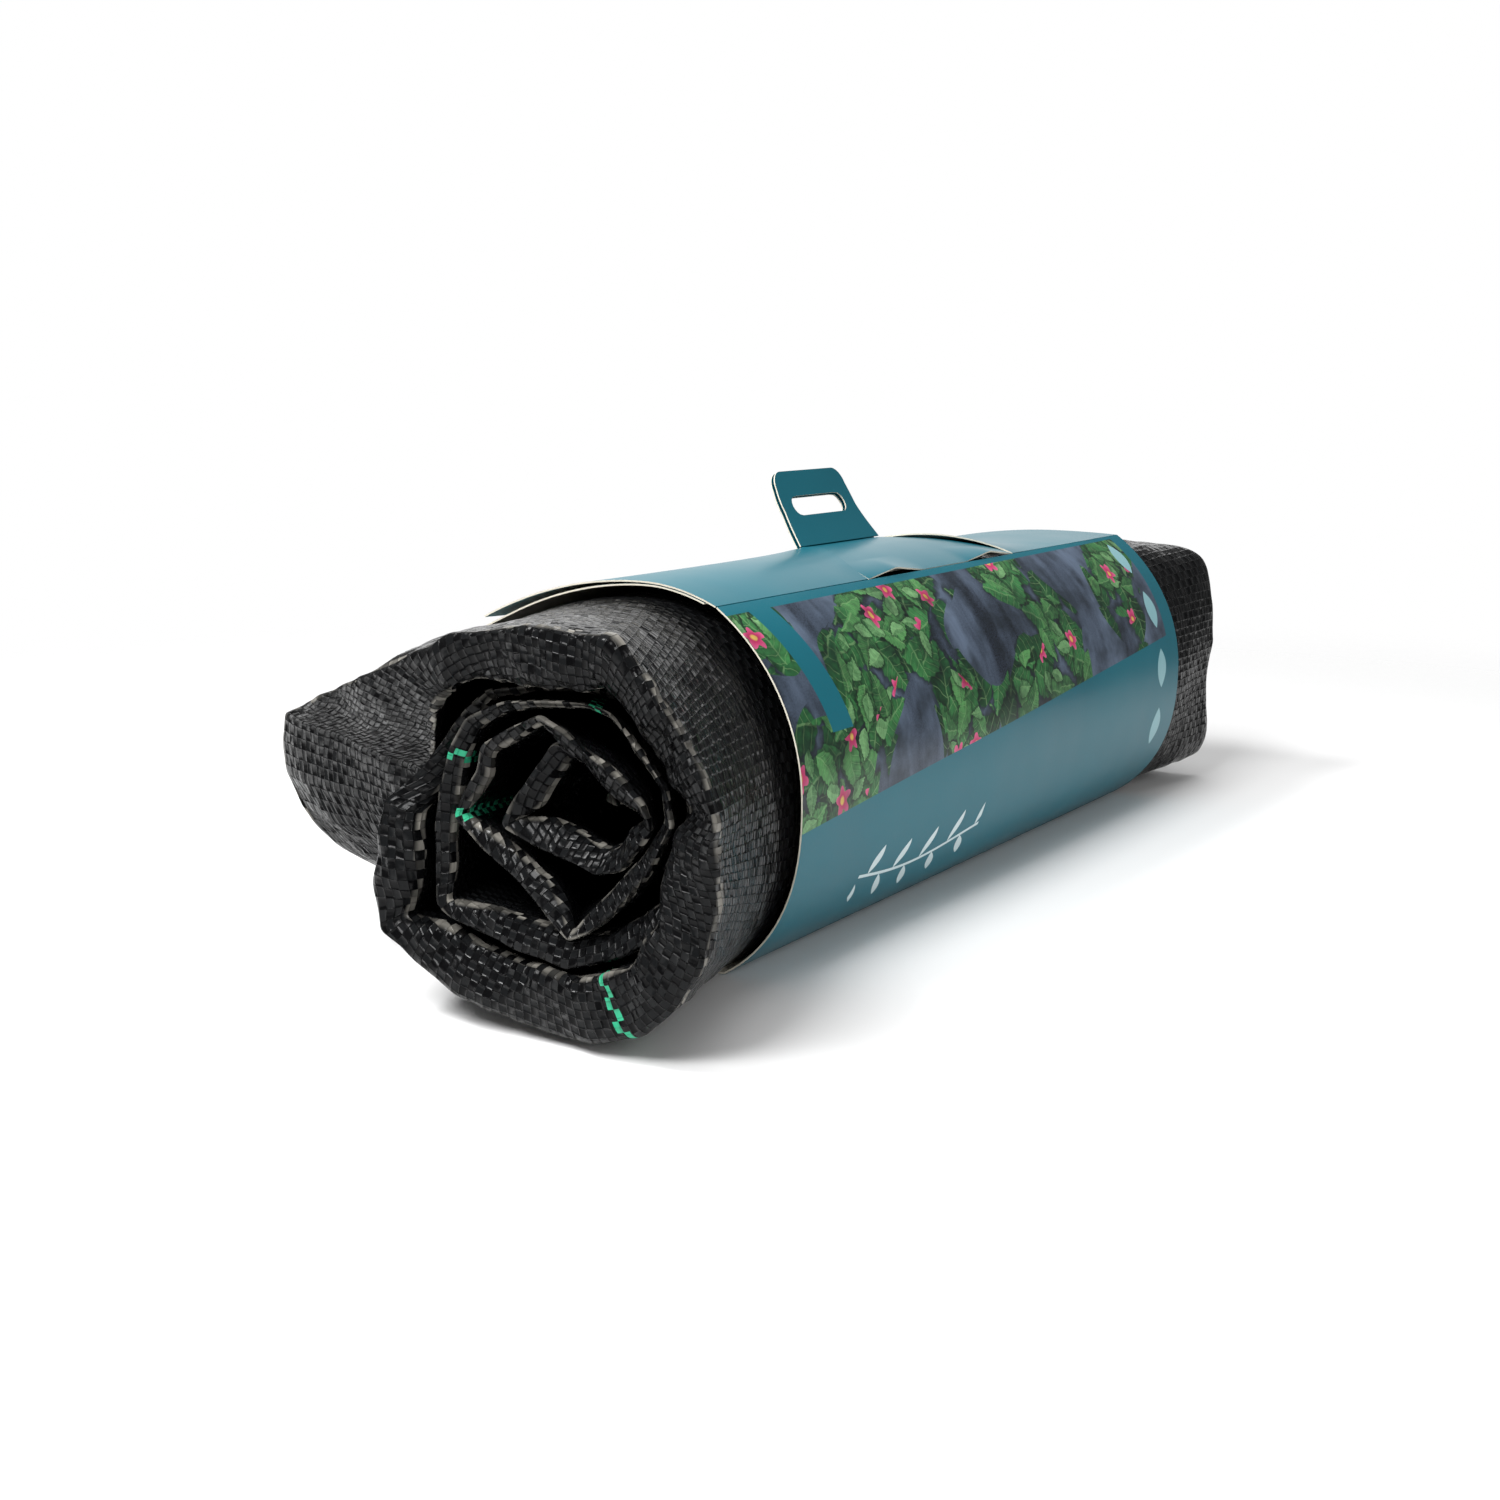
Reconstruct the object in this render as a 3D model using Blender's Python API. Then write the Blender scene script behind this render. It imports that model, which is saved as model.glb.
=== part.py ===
# Roll of woven weed control fabric, held in a die-cut card sleeve with a folded hang tab.
#
# Frame: the origin is the middle of the sleeve's flat underside, +Z is up, +Y runs along the
# roll away from its coiled near end, and +X is the sleeve's front. Metres and degrees.

import math

import bmesh
import bpy

# Card sleeve
SLEEVE_LENGTH = 0.300
SLEEVE_WIDTH = 0.137
SLEEVE_HEIGHT = 0.1135
SLEEVE_BULGE_Z = 0.054
UNDERSIDE_WIDTH = 0.084
CREASE_X = 0.040
CREASE_DROP = 0.006
CREST_X = 0.0135
FLAP_REAR_STRIP = 0.012
FLAP_REAR_DROP = 0.0155
INNER_FLAP_SETBACK = 0.004
CARD = 0.0005
GAP = 0.0003
FOLD_GAP = 0.0004
CUT_GAP = 0.0008

# Tongue that the hang tab pulls on, cut out of the outer flap
TONGUE_LENGTH = 0.041
TONGUE_WIDTH = 0.109
TONGUE_WAIST = 0.033
TONGUE_RISE = 0.0012
LIP_LIFT = 0.0026
LIP_REACH = 0.012

# Hang tab
TAB_Y = -0.006
TAB_BASE_WIDTH = 0.056
TAB_TOP_WIDTH = 0.043
TAB_HEIGHT = 0.0276
TAB_CORNER_RADIUS = 0.006
TAB_LEAN = 30.0
PLY_SETBACK = 0.0009
SLOT_LENGTH = 0.036
SLOT_HEIGHT = 0.0075
SLOT_RISE = 0.015
WINDOW_MARGIN = 0.0015

# Rolled fabric
ROLL_LENGTH = 0.434
NEAR_OVERHANG = 0.079
ROLL_GAP = 0.004
TURN_GAP = 0.0016
TURN_SETBACK = 0.004
FOLD_ROUND = 0.004
SLEEVE_LEAD = 0.002
END_X = 0.044
END_Z = 0.061
END_RADIUS = 0.054
EAR_SETBACK = 0.040
FAR_END_X = 0.005
FAR_END_DROP = 0.0015
FAR_END_TAPER_X = 0.004
FAR_END_TAPER_Z = 0.0046

# Powers of the rounded outlines: 2 is an ellipse, and more is fuller at the corners
FRONT_POWER = 2.0
FOOT_POWER = 2.4
FAR_POWER = 3.0

# Counts
SIDE_STEPS = 7
ARCH_STEPS = 12
TAB_CORNER_STEPS = 6
SLOT_END_STEPS = 8
TURN_COUNT = 4
OUTER_TURN_STEPS = 2

# The near end's folded rim, clockwise from the upper left, as shares of END_RADIUS
RIM_CORNER_SHARES = (
    (-0.78, 0.59), (-0.37, 0.80), (0.02, 0.92), (0.24, 0.88), (0.57, 0.56),
    (0.78, 0.11), (0.78, -0.31), (0.65, -0.76), (0.26, -1.01), (-0.13, -1.08),
    (-0.54, -1.07), (-0.85, -0.94), (-1.23, -0.71), (-1.24, -0.15), (-1.04, 0.04),
)

# The loose ear of the outer turn, from its tucked end up to the rim, as shares of END_RADIUS
EAR_CORNER_SHARES = (
    (-1.65, -0.57), (-2.15, -0.39), (-2.42, -0.20), (-2.50, 0.17), (-2.07, 0.37),
    (-1.63, 0.54), (-1.19, 0.69), (-0.78, 0.59),
)

# How far out each turn lies, and where in a turn it starts to step inwards
LOOSE_TURN_SHARES = (1.0, 0.68, 0.52, 0.35, 0.16)
TIGHT_TURN_SHARES = (1.0, 0.81, 0.62, 0.43, 0.25, 0.08)
STEP_START_SHARE = 0.87

# Places along the roll between an end and the sleeve
NEAR_STATION_SHARES = (0.0, 0.15, 0.35, 0.60, 0.82, 1.0)
FAR_STATION_SHARES = (0.0, 0.4, 0.8, 1.0)

# Sizes that follow
LAYER = CARD + GAP
HALF_LENGTH = SLEEVE_LENGTH / 2
HALF_WIDTH = SLEEVE_WIDTH / 2
CREASE_Z = SLEEVE_HEIGHT - CREASE_DROP
TAB_X = CREASE_X - TONGUE_LENGTH
ROLL_NEAR_Y = -HALF_LENGTH - NEAR_OVERHANG
ROLL_FAR_Y = ROLL_NEAR_Y + ROLL_LENGTH
ROLL_SEAT_Z = CARD + GAP
ROLL_MIDDLE_Z = SLEEVE_BULGE_Z - ROLL_GAP
WINDOW_REAR_X = TAB_X - PLY_SETBACK - TAB_HEIGHT - TONGUE_RISE - LAYER - WINDOW_MARGIN
FLAP_REAR_X = WINDOW_REAR_X - FLAP_REAR_STRIP


def clear_scene():
    for old in list(bpy.data.objects):
        bpy.data.objects.remove(old)


def material(name, colour, roughness):
    made = bpy.data.materials.new(name)
    made.use_nodes = True
    shader = made.node_tree.nodes["Principled BSDF"]
    shader.inputs["Base Color"].default_value = (*colour, 1.0)
    shader.inputs["Roughness"].default_value = roughness
    shader.inputs["Metallic"].default_value = 0.0
    return made


def mesh_object(name, points, faces, finish, smooth_angle=None):
    """One closed solid from its points and faces, with the faces turned outwards."""
    mesh = bpy.data.meshes.new(name)
    shape = bmesh.new()
    corners = [shape.verts.new(point) for point in points]
    for face in faces:
        shape.faces.new([corners[index] for index in face])
    bmesh.ops.recalc_face_normals(shape, faces=shape.faces)
    shape.to_mesh(mesh)
    shape.free()
    if smooth_angle is not None:
        mesh.shade_smooth()
        mesh.set_sharp_from_angle(angle=math.radians(smooth_angle))
    mesh.materials.append(finish)
    made = bpy.data.objects.new(name, mesh)
    bpy.context.collection.objects.link(made)
    return made


def hang_on(child, axis_point):
    """Puts a moving piece's origin on its joint axis."""
    for vertex in child.data.vertices:
        vertex.co.x -= axis_point[0]
        vertex.co.z -= axis_point[1]
    child.location = (axis_point[0], 0.0, axis_point[1])


def mix(first, second, share):
    return first + (second - first) * share


def ease(share):
    return share * share * (3 - 2 * share)


def superellipse_reach(half_width, half_height, power, angle):
    """Distance from the middle of a rounded outline to its edge, at an angle."""
    across = abs(math.cos(angle)) / half_width
    up = abs(math.sin(angle)) / half_height
    return (across**power + up**power) ** (-1 / power)


def outline_reach(corners, angle):
    """Distance from the middle to a polygon's edge, at an angle."""
    along_x = math.cos(angle)
    along_z = math.sin(angle)
    furthest = 0.0
    for (x0, z0), (x1, z1) in zip(corners, corners[1:]):
        turn = along_x * (z1 - z0) - along_z * (x1 - x0)
        if abs(turn) < 1e-9:
            continue
        place = (along_z * x0 - along_x * z0) / turn
        reach = (x0 * (z1 - z0) - z0 * (x1 - x0)) / turn
        if -1e-6 <= place <= 1 + 1e-6 and reach > furthest:
            furthest = reach
    return furthest


# Card: every panel is a surface of stations across the roll, with four columns along it


def arch_point(x, depth):
    """A point of the arched top, at a depth under the outer flap's outer face."""
    if x > CREST_X:
        drop, run = CREASE_DROP, CREASE_X - CREST_X
    else:
        drop, run = FLAP_REAR_DROP, CREST_X - FLAP_REAR_X
    share = (x - CREST_X) / run
    lean = math.atan(-2 * drop * share / run)
    return (x + depth * math.sin(lean), SLEEVE_HEIGHT - drop * share**2 - depth * math.cos(lean))


def side_x(z, power, height):
    """Half width of the sleeve's side at a height, on an outline that would close at height."""
    return HALF_WIDTH * (1 - (abs(z - SLEEVE_BULGE_Z) / height) ** power) ** (1 / power)


def closing_height(x, z, power):
    """The height at which a side through (x, z) would close over the middle."""
    return abs(z - SLEEVE_BULGE_Z) / (1 - (abs(x) / HALF_WIDTH) ** power) ** (1 / power)


def wrap_profile():
    """Outer face of the sleeve from its front crease, under the roll and over the back to the inner flap's end."""
    front_height = closing_height(CREASE_X, CREASE_Z, FRONT_POWER)
    foot_height = closing_height(UNDERSIDE_WIDTH / 2, 0, FOOT_POWER)
    back_x, back_z = arch_point(FLAP_REAR_X, LAYER)
    back_height = closing_height(back_x, back_z, FRONT_POWER)
    steps = [math.sin(math.radians(90 * step / SIDE_STEPS)) for step in range(SIDE_STEPS + 1)]
    profile = []
    for share in reversed(steps[1:]):
        z = mix(SLEEVE_BULGE_Z, CREASE_Z, share)
        profile.append((side_x(z, FRONT_POWER, front_height), z))
    for share in steps:
        z = mix(SLEEVE_BULGE_Z, 0, share)
        profile.append((side_x(z, FOOT_POWER, foot_height), z))
    for share in reversed(steps):
        z = mix(SLEEVE_BULGE_Z, 0, share)
        profile.append((-side_x(z, FOOT_POWER, foot_height), z))
    for share in steps[1:-1]:
        z = mix(SLEEVE_BULGE_Z, back_z, share)
        profile.append((-side_x(z, FRONT_POWER, back_height), z))
    inner_end = CREASE_X - INNER_FLAP_SETBACK
    for x in arch_stations(FLAP_REAR_X, inner_end, ply_base()[0]):
        profile.append(arch_point(x, LAYER))
    return profile


def arch_stations(low, high, *kept):
    """Places across the top, evenly spaced, with the window's ends and the creases kept."""
    even = [mix(low, high, step / ARCH_STEPS) for step in range(ARCH_STEPS + 1)]
    room = (high - low) / ARCH_STEPS / 2
    fixed = [x for x in (WINDOW_REAR_X, *kept) if low < x < high]
    return sorted([x for x in even if all(abs(x - other) > room for other in fixed)] + fixed)


def tab_half_width(rise):
    """Half the hang tab's width at a height above its crease."""
    return mix(TAB_BASE_WIDTH, TAB_TOP_WIDTH, min(rise / TAB_HEIGHT, 1)) / 2


def tongue_half_width(x):
    """Half the tongue's width, which narrows from the crease to the hang tab."""
    share = (CREASE_X - x) / (CREASE_X - TAB_X)
    return mix(TONGUE_WIDTH, TAB_BASE_WIDTH, ease(share)) / 2


def window_half_width(x):
    """Half the width of the hole that the tongue and the hang tab leave in a flap."""
    if x > TAB_X:
        return tongue_half_width(min(x, CREASE_X)) + CUT_GAP
    return tab_half_width(TAB_X - x) + CUT_GAP


def column_normals(profile):
    """Outward normals of a profile, in the plane across the roll."""
    normals = []
    for index in range(len(profile)):
        x0, z0 = profile[max(index - 1, 0)]
        x1, z1 = profile[min(index + 1, len(profile) - 1)]
        size = math.hypot(x1 - x0, z1 - z0)
        normals.append(((z0 - z1) / size, (x1 - x0) / size))
    return normals


def card_panel(name, profile, columns, is_cut, finish, lift=None):
    """A sheet of card over a profile. columns gives a station's places along the roll, and is_cut says which cells are cut away."""
    normals = column_normals(profile)
    count = len(columns(0))
    points = []
    for depth in (0, CARD):
        for station, ((x, z), (nx, nz)) in enumerate(zip(profile, normals)):
            for column, y in enumerate(columns(station)):
                up = lift(station, column) if lift else 0
                out = up - depth
                points.append((x + nx * out, y, z + nz * out))
    cells = [
        (station, column)
        for station in range(len(profile) - 1)
        for column in range(count - 1)
        if not is_cut(station, column)
    ]
    under = len(profile) * count
    faces = []
    uses = {}
    for station, column in cells:
        first = station * count + column
        face = (first, first + 1, first + count + 1, first + count)
        faces.append(face)
        faces.append(tuple(index + under for index in reversed(face)))
        for edge in zip(face, face[1:] + face[:1]):
            key = tuple(sorted(edge))
            uses.setdefault(key, []).append(edge)
    for edges in uses.values():
        if len(edges) == 1:
            start, end = edges[0]
            faces.append((end, start, start + under, end + under))
    used = sorted({index for face in faces for index in face})
    place = {index: new for new, index in enumerate(used)}
    kept = [points[index] for index in used]
    return mesh_object(name, kept, [[place[index] for index in face] for face in faces], finish, 35)


def window_columns(xs):
    """Columns at the sleeve's two ends and at the window's two sides."""

    def columns(station):
        half = window_half_width(xs[station])
        return (-HALF_LENGTH, TAB_Y - half, TAB_Y + half, HALF_LENGTH)

    return columns


def make_sleeve_wrap():
    """Front, underside, back and inner flap: one piece of card that goes right round the roll."""
    profile = wrap_profile()
    base_x = ply_base()[0]
    top_start = len(profile) - len(arch_stations(FLAP_REAR_X, CREASE_X - INNER_FLAP_SETBACK, base_x))
    xs = [TAB_X if index < top_start else x for index, (x, z) in enumerate(profile)]
    window_rear = arch_point(WINDOW_REAR_X, LAYER)[0]
    window_front = arch_point(base_x, LAYER)[0]
    spare = GAP / 2

    def columns(station):
        half = min(window_half_width(xs[station]), TAB_BASE_WIDTH / 2 + CUT_GAP)
        return (-HALF_LENGTH, TAB_Y - half, TAB_Y + half, HALF_LENGTH)

    def is_cut(station, column):
        rear = xs[station] > window_rear - spare
        return column == 1 and station >= top_start and rear and xs[station + 1] < window_front + spare

    return card_panel("sleeve_wrap", profile, columns, is_cut, material("wrap_card", TEAL, 0.35))


def make_outer_flap():
    """Outer flap: folds over the top from the front crease, with the tongue's and tab's window."""
    xs = arch_stations(FLAP_REAR_X, CREASE_X - FOLD_GAP, TAB_X)
    profile = [arch_point(x, 0) for x in xs]

    def is_cut(station, column):
        return column == 1 and xs[station] > WINDOW_REAR_X - GAP / 2

    flap = card_panel("outer_flap", profile, window_columns(xs), is_cut, material("flap_card", TEAL, 0.35))
    hang_on(flap, (CREASE_X, CREASE_Z))


def tongue_rise(x):
    """How far the hang tab lifts the tongue above the outer flap."""
    return TONGUE_RISE * ((CREASE_X - x) / (CREASE_X - TAB_X)) ** 2


def make_tongue():
    """Tongue: hinges at the crease's waist, with its shoulders sprung up as two lips."""
    xs = [x for x in arch_stations(TAB_X, CREASE_X - FOLD_GAP, CREASE_X - LIP_REACH)]
    profile = [arch_point(x, -tongue_rise(x)) for x in xs]
    waist = TONGUE_WAIST / 2

    def columns(station):
        half = tongue_half_width(xs[station])
        inner = min(waist, half / 2)
        middle = (half + inner) / 2
        return [TAB_Y + side for side in (-half, -middle, -inner, inner, middle, half)]

    def lift(station, column):
        if column not in (1, 4):
            return 0
        return LIP_LIFT * max(0, 1 - (CREASE_X - xs[station]) / LIP_REACH)

    finish = material("tongue_card", TEAL, 0.35)
    tongue = card_panel("tongue", profile, columns, lambda station, column: False, finish, lift)
    hang_on(tongue, (CREASE_X, CREASE_Z))


def tab_crease():
    """Where the front ply folds up from the tongue's end."""
    return arch_point(TAB_X, -TONGUE_RISE)


def ply_base():
    """Where the back ply folds up from the inner flap, just behind the front ply."""
    return arch_point(TAB_X - PLY_SETBACK, LAYER)


def make_ply(name, base, height, slot_rise, finish):
    """One ply of the hang tab, leaning back, with its rounded top corners and the hang slot."""
    lean = math.radians(TAB_LEAN)
    up_x, up_z = -math.sin(lean), math.cos(lean)
    back_x, back_z = -math.cos(lean), -math.sin(lean)

    def place(rise, y, depth):
        return (base[0] + up_x * rise + back_x * depth, y, base[1] + up_z * rise + back_z * depth)

    half_top = TAB_TOP_WIDTH / 2
    outline = [(FOLD_GAP, -TAB_BASE_WIDTH / 2), (FOLD_GAP, TAB_BASE_WIDTH / 2)]
    centre = half_top - TAB_CORNER_RADIUS
    for step in range(TAB_CORNER_STEPS + 1):
        turn = math.radians(90 * step / TAB_CORNER_STEPS)
        rise = height - TAB_CORNER_RADIUS * (1 - math.sin(turn))
        outline.append((rise, centre + TAB_CORNER_RADIUS * math.cos(turn)))
    outline += [(rise, -y) for rise, y in reversed(outline[2:])]
    ply = prism(name, outline, 0, CARD, place, finish)
    radius = SLOT_HEIGHT / 2
    slot = []
    for side in (1, -1):
        for step in range(SLOT_END_STEPS + 1):
            turn = math.radians(90 - 180 * step / SLOT_END_STEPS)
            offset = side * (SLOT_LENGTH / 2 - radius + radius * math.cos(turn))
            slot.append((slot_rise + side * radius * math.sin(turn), offset))
    cutter = prism(name + "_slot_cutter", slot, -CARD, 2 * CARD, place, finish)
    cutter.hide_render = True
    cutter.display_type = "WIRE"
    cut = ply.modifiers.new("hang slot", "BOOLEAN")
    cut.operation = "DIFFERENCE"
    cut.solver = "EXACT"
    cut.object = cutter
    cutter.hide_set(True)
    hang_on(ply, base)
    hang_on(cutter, base)
    return ply


def prism(name, outline, front, back, place, finish):
    """An outline in the hang tab's plane, given a thickness."""
    count = len(outline)
    points = [place(rise, TAB_Y + y, front) for rise, y in outline]
    points += [place(rise, TAB_Y + y, back) for rise, y in outline]
    faces = [list(range(count)), list(reversed(range(count, 2 * count)))]
    for index in range(count):
        after = (index + 1) % count
        faces.append([index, index + count, after + count, after])
    return mesh_object(name, points, faces, finish)


def make_hang_tab():
    """Two plies: the front one on the tongue, the back one on the inner flap."""
    lean = math.radians(TAB_LEAN)
    front = tab_crease()
    back = ply_base()
    longer = (front[0] - back[0]) * -math.sin(lean) + (front[1] - back[1]) * math.cos(lean)
    make_ply("hang_tab_front_ply", front, TAB_HEIGHT, SLOT_RISE, material("front_ply_card", TEAL, 0.35))
    make_ply(
        "hang_tab_back_ply", back, TAB_HEIGHT + longer, SLOT_RISE + longer, material("back_ply_card", TEAL, 0.35)
    )


# Fabric: one unbroken strip of folded cloth, wound from its loose ear in to the core


def winding_angles():
    """Angles wound from the strip's outer end, at each fold and between the outer turn's folds."""
    start = math.atan2(EAR_CORNER_SHARES[0][1], EAR_CORNER_SHARES[0][0])
    folds = []
    for turn in range(TURN_COUNT + 1):
        corners = EAR_CORNER_SHARES[:-1] if turn == 0 else RIM_CORNER_SHARES
        for x, z in corners:
            wound = (start - math.atan2(z, x)) % (2 * math.pi)
            while folds and wound < folds[-1]:
                wound += 2 * math.pi
            folds.append(wound)
    angles = []
    for first, second in zip(folds, folds[1:]):
        splits = OUTER_TURN_STEPS if first < 2 * math.pi else 1
        angles += [mix(first, second, step / splits) for step in range(splits)]
    return start, angles + [folds[-1]]


START_ANGLE, ANGLES = winding_angles()
RIM_START = (START_ANGLE - math.atan2(RIM_CORNER_SHARES[0][1], RIM_CORNER_SHARES[0][0])) % (2 * math.pi)
CLOSED_RIM = RIM_CORNER_SHARES + RIM_CORNER_SHARES[:1]
SLEEVE_OUTLINE = [(x, z - SLEEVE_BULGE_Z) for x, z in wrap_profile()]
SLEEVE_OUTLINE.append(SLEEVE_OUTLINE[0])
EAR_REACH_SHARE = max(math.hypot(x, z) for x, z in EAR_CORNER_SHARES)


def turn_share(wound, shares):
    """How far out a turn lies: at its own share, then stepping in to the next turn's."""
    turn, phase = divmod(wound / (2 * math.pi), 1)
    last = len(shares) - 1
    step = max(0, (phase - STEP_START_SHARE) / (1 - STEP_START_SHARE))
    return mix(shares[min(int(turn), last)], shares[min(int(turn) + 1, last)], step)


def near_reach(wound):
    """How far out the strip's outer face lies at the near end."""
    angle = START_ANGLE - wound
    if wound < RIM_START:
        return END_RADIUS * outline_reach(EAR_CORNER_SHARES, angle)
    return END_RADIUS * turn_share(wound - RIM_START, LOOSE_TURN_SHARES) * outline_reach(CLOSED_RIM, angle)


def sleeve_reach(wound):
    """How far out the strip's outer face lies inside the sleeve, whose outline it follows."""
    outline = outline_reach(SLEEVE_OUTLINE, START_ANGLE - wound) - CARD - ROLL_GAP
    return outline * turn_share(wound, TIGHT_TURN_SHARES)


def far_reach(wound):
    """How far out the strip's outer face lies at the far end, where the roll is boxier."""
    half_width = HALF_WIDTH - CARD - ROLL_GAP - FAR_END_TAPER_X
    half_height = (SLEEVE_HEIGHT - LAYER - CARD) / 2 - ROLL_GAP - FAR_END_TAPER_Z
    outline = superellipse_reach(half_width, half_height, FAR_POWER, START_ANGLE - wound)
    return outline * turn_share(wound, TIGHT_TURN_SHARES)


def near_setback(wound):
    """How far the strip's near edge lies behind the roll's near end."""
    if wound < RIM_START:
        past_rim = (outline_reach(EAR_CORNER_SHARES, START_ANGLE - wound) - 1) / (EAR_REACH_SHARE - 1)
        return EAR_SETBACK * max(0, past_rim)
    return TURN_SETBACK * (wound - RIM_START) / (2 * math.pi)


def station_points(wound, middle, outer, inner, y, trim):
    """The strip's outer and inner face at one place, each trimmed where its edge is folded round."""
    angle = START_ANGLE - wound
    trim = min(trim, (outer - inner) / 4)
    points = []
    for reach in (outer - trim, inner + trim):
        x = middle[0] + reach * math.cos(angle)
        z = middle[1] + reach * math.sin(angle)
        points.append((x, y, max(z, ROLL_SEAT_Z)))
    return points


def strip_stations(wound):
    """Every place along the roll of the strip at one wound angle, from the near edge to the far one."""
    end_middle = (END_X, END_Z)
    sleeve_middle = (0, ROLL_MIDDLE_Z)
    far_middle = (FAR_END_X, SLEEVE_BULGE_Z - FAR_END_DROP)
    full = 2 * math.pi
    near = (near_reach(wound), near_reach(wound + full) + TURN_GAP)
    sleeve = (sleeve_reach(wound), sleeve_reach(wound + full) + TURN_GAP)
    far = (far_reach(wound), far_reach(wound + full) + TURN_GAP)
    near_y = ROLL_NEAR_Y + near_setback(wound)
    free = -HALF_LENGTH - SLEEVE_LEAD
    rows = [station_points(wound, end_middle, *near, near_y, FOLD_ROUND)]
    for share in NEAR_STATION_SHARES:
        middle = [mix(a, b, share) for a, b in zip(end_middle, sleeve_middle)]
        faces = [mix(a, b, share) for a, b in zip(near, sleeve)]
        y = mix(near_y + FOLD_ROUND, free, share)
        rows.append(station_points(wound, middle, *faces, y, 0))
    far_free = HALF_LENGTH + SLEEVE_LEAD
    for share in FAR_STATION_SHARES:
        middle = [mix(a, b, share) for a, b in zip(sleeve_middle, far_middle)]
        faces = [mix(a, b, share) for a, b in zip(sleeve, far)]
        y = mix(far_free, ROLL_FAR_Y - FOLD_ROUND, share)
        rows.append(station_points(wound, middle, *faces, y, 0))
    rows.append(station_points(wound, far_middle, *far, ROLL_FAR_Y, FOLD_ROUND))
    return rows


def least_gap(columns):
    """The least distance between the strip's inner face and the next turn's outer face, on points."""
    least = ROLL_LENGTH
    per_turn = 2 * math.pi
    for index, wound in enumerate(ANGLES):
        nearby = [other for other, after in enumerate(ANGLES) if abs(after - wound - per_turn) < per_turn / 6]
        for station in range(len(columns[0])):
            x, y, z = columns[index][station][1]
            for first, second in zip(nearby, nearby[1:]):
                a = columns[first][station][0]
                b = columns[second][station][0]
                square = (b[0] - a[0]) ** 2 + (b[2] - a[2]) ** 2
                along = (x - a[0]) * (b[0] - a[0]) + (z - a[2]) * (b[2] - a[2])
                place = max(0, min(1, along / square)) if square else 0
                near = math.hypot(x - mix(a[0], b[0], place), z - mix(a[2], b[2], place))
                least = min(least, near)
    return least


def make_fabric_roll():
    """The folded strip, coiled as one unbroken solid, with its ear and its set-back turns."""
    columns = [strip_stations(wound) for wound in ANGLES]
    stations = len(columns[0])
    points = [point for column in columns for pair in column for point in pair]

    def at(column, station, face):
        return (column * stations + station) * 2 + face

    faces = []
    for column in range(len(columns) - 1):
        after = column + 1
        for station in range(stations - 1):
            ahead = station + 1
            for face in (0, 1):
                faces.append([at(column, station, face), at(column, ahead, face),
                              at(after, ahead, face), at(after, station, face)])
        for station in (0, stations - 1):
            faces.append([at(column, station, 0), at(after, station, 0), at(after, station, 1), at(column, station, 1)])
    for column in (0, len(columns) - 1):
        for station in range(stations - 1):
            ahead = station + 1
            faces.append([at(column, station, 0), at(column, ahead, 0), at(column, ahead, 1), at(column, station, 1)])
    mesh_object("fabric_roll", points, faces, material("woven_polypropylene", BLACK, 0.45), 40)
    print(f"least gap between turns: {least_gap(columns) * 1000:.2f} mm")


TEAL = (0.027, 0.165, 0.214)
BLACK = (0.012, 0.012, 0.013)

clear_scene()
make_sleeve_wrap()
make_outer_flap()
make_tongue()
make_hang_tab()
make_fabric_roll()
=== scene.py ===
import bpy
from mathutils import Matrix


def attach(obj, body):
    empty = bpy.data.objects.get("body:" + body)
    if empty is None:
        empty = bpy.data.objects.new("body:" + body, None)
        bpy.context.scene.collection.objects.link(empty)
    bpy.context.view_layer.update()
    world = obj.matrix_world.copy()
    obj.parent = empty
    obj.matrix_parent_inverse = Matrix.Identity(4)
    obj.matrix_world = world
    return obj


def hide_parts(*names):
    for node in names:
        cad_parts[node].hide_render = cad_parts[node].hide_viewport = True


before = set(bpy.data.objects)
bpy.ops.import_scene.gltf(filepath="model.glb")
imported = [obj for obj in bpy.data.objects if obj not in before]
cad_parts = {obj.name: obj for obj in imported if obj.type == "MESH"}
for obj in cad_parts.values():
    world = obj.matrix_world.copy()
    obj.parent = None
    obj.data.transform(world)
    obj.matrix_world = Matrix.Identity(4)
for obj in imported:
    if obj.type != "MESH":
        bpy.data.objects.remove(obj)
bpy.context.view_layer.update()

import functools
import math

import bpy
import numpy as np
from mathutils import Vector

# Camera: stands to the right of the roll's coiled end and a little above it, and looks down at
# the roll by eleven degrees.
camera_data = bpy.data.cameras.new("studio_camera")
camera_data.lens = 46.8
camera_data.sensor_width = 36.0
camera = bpy.data.objects.new("studio_camera", camera_data)
camera.location = (0.3397, -0.6086, 0.1718)
camera.rotation_euler = (math.radians(90 - 10.886), 0.0, math.radians(32.19))
bpy.context.scene.collection.objects.link(camera)
bpy.context.scene.camera = camera

# Fabric: one 2 x 5 m sheet of black woven polypropylene tape cloth. It is folded flat in about
# 24 layers to a strip, and the strip is rolled up in about four turns without core or tie. Its
# near end shows the folded edges as angular, pillowy rims; the loose outer end is the ear.
MM = 0.001
SLEEVE_HALF_LENGTH = 150 * MM
SLEEVE_MOUTH = SLEEVE_HALF_LENGTH + 2 * MM
ROLL_NEAR_Y = -229 * MM
ROLL_FAR_Y = 205 * MM
ROLL_AXIS = (44 * MM, 61 * MM)
ROLL_SEAT_Z = 0.8 * MM
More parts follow.
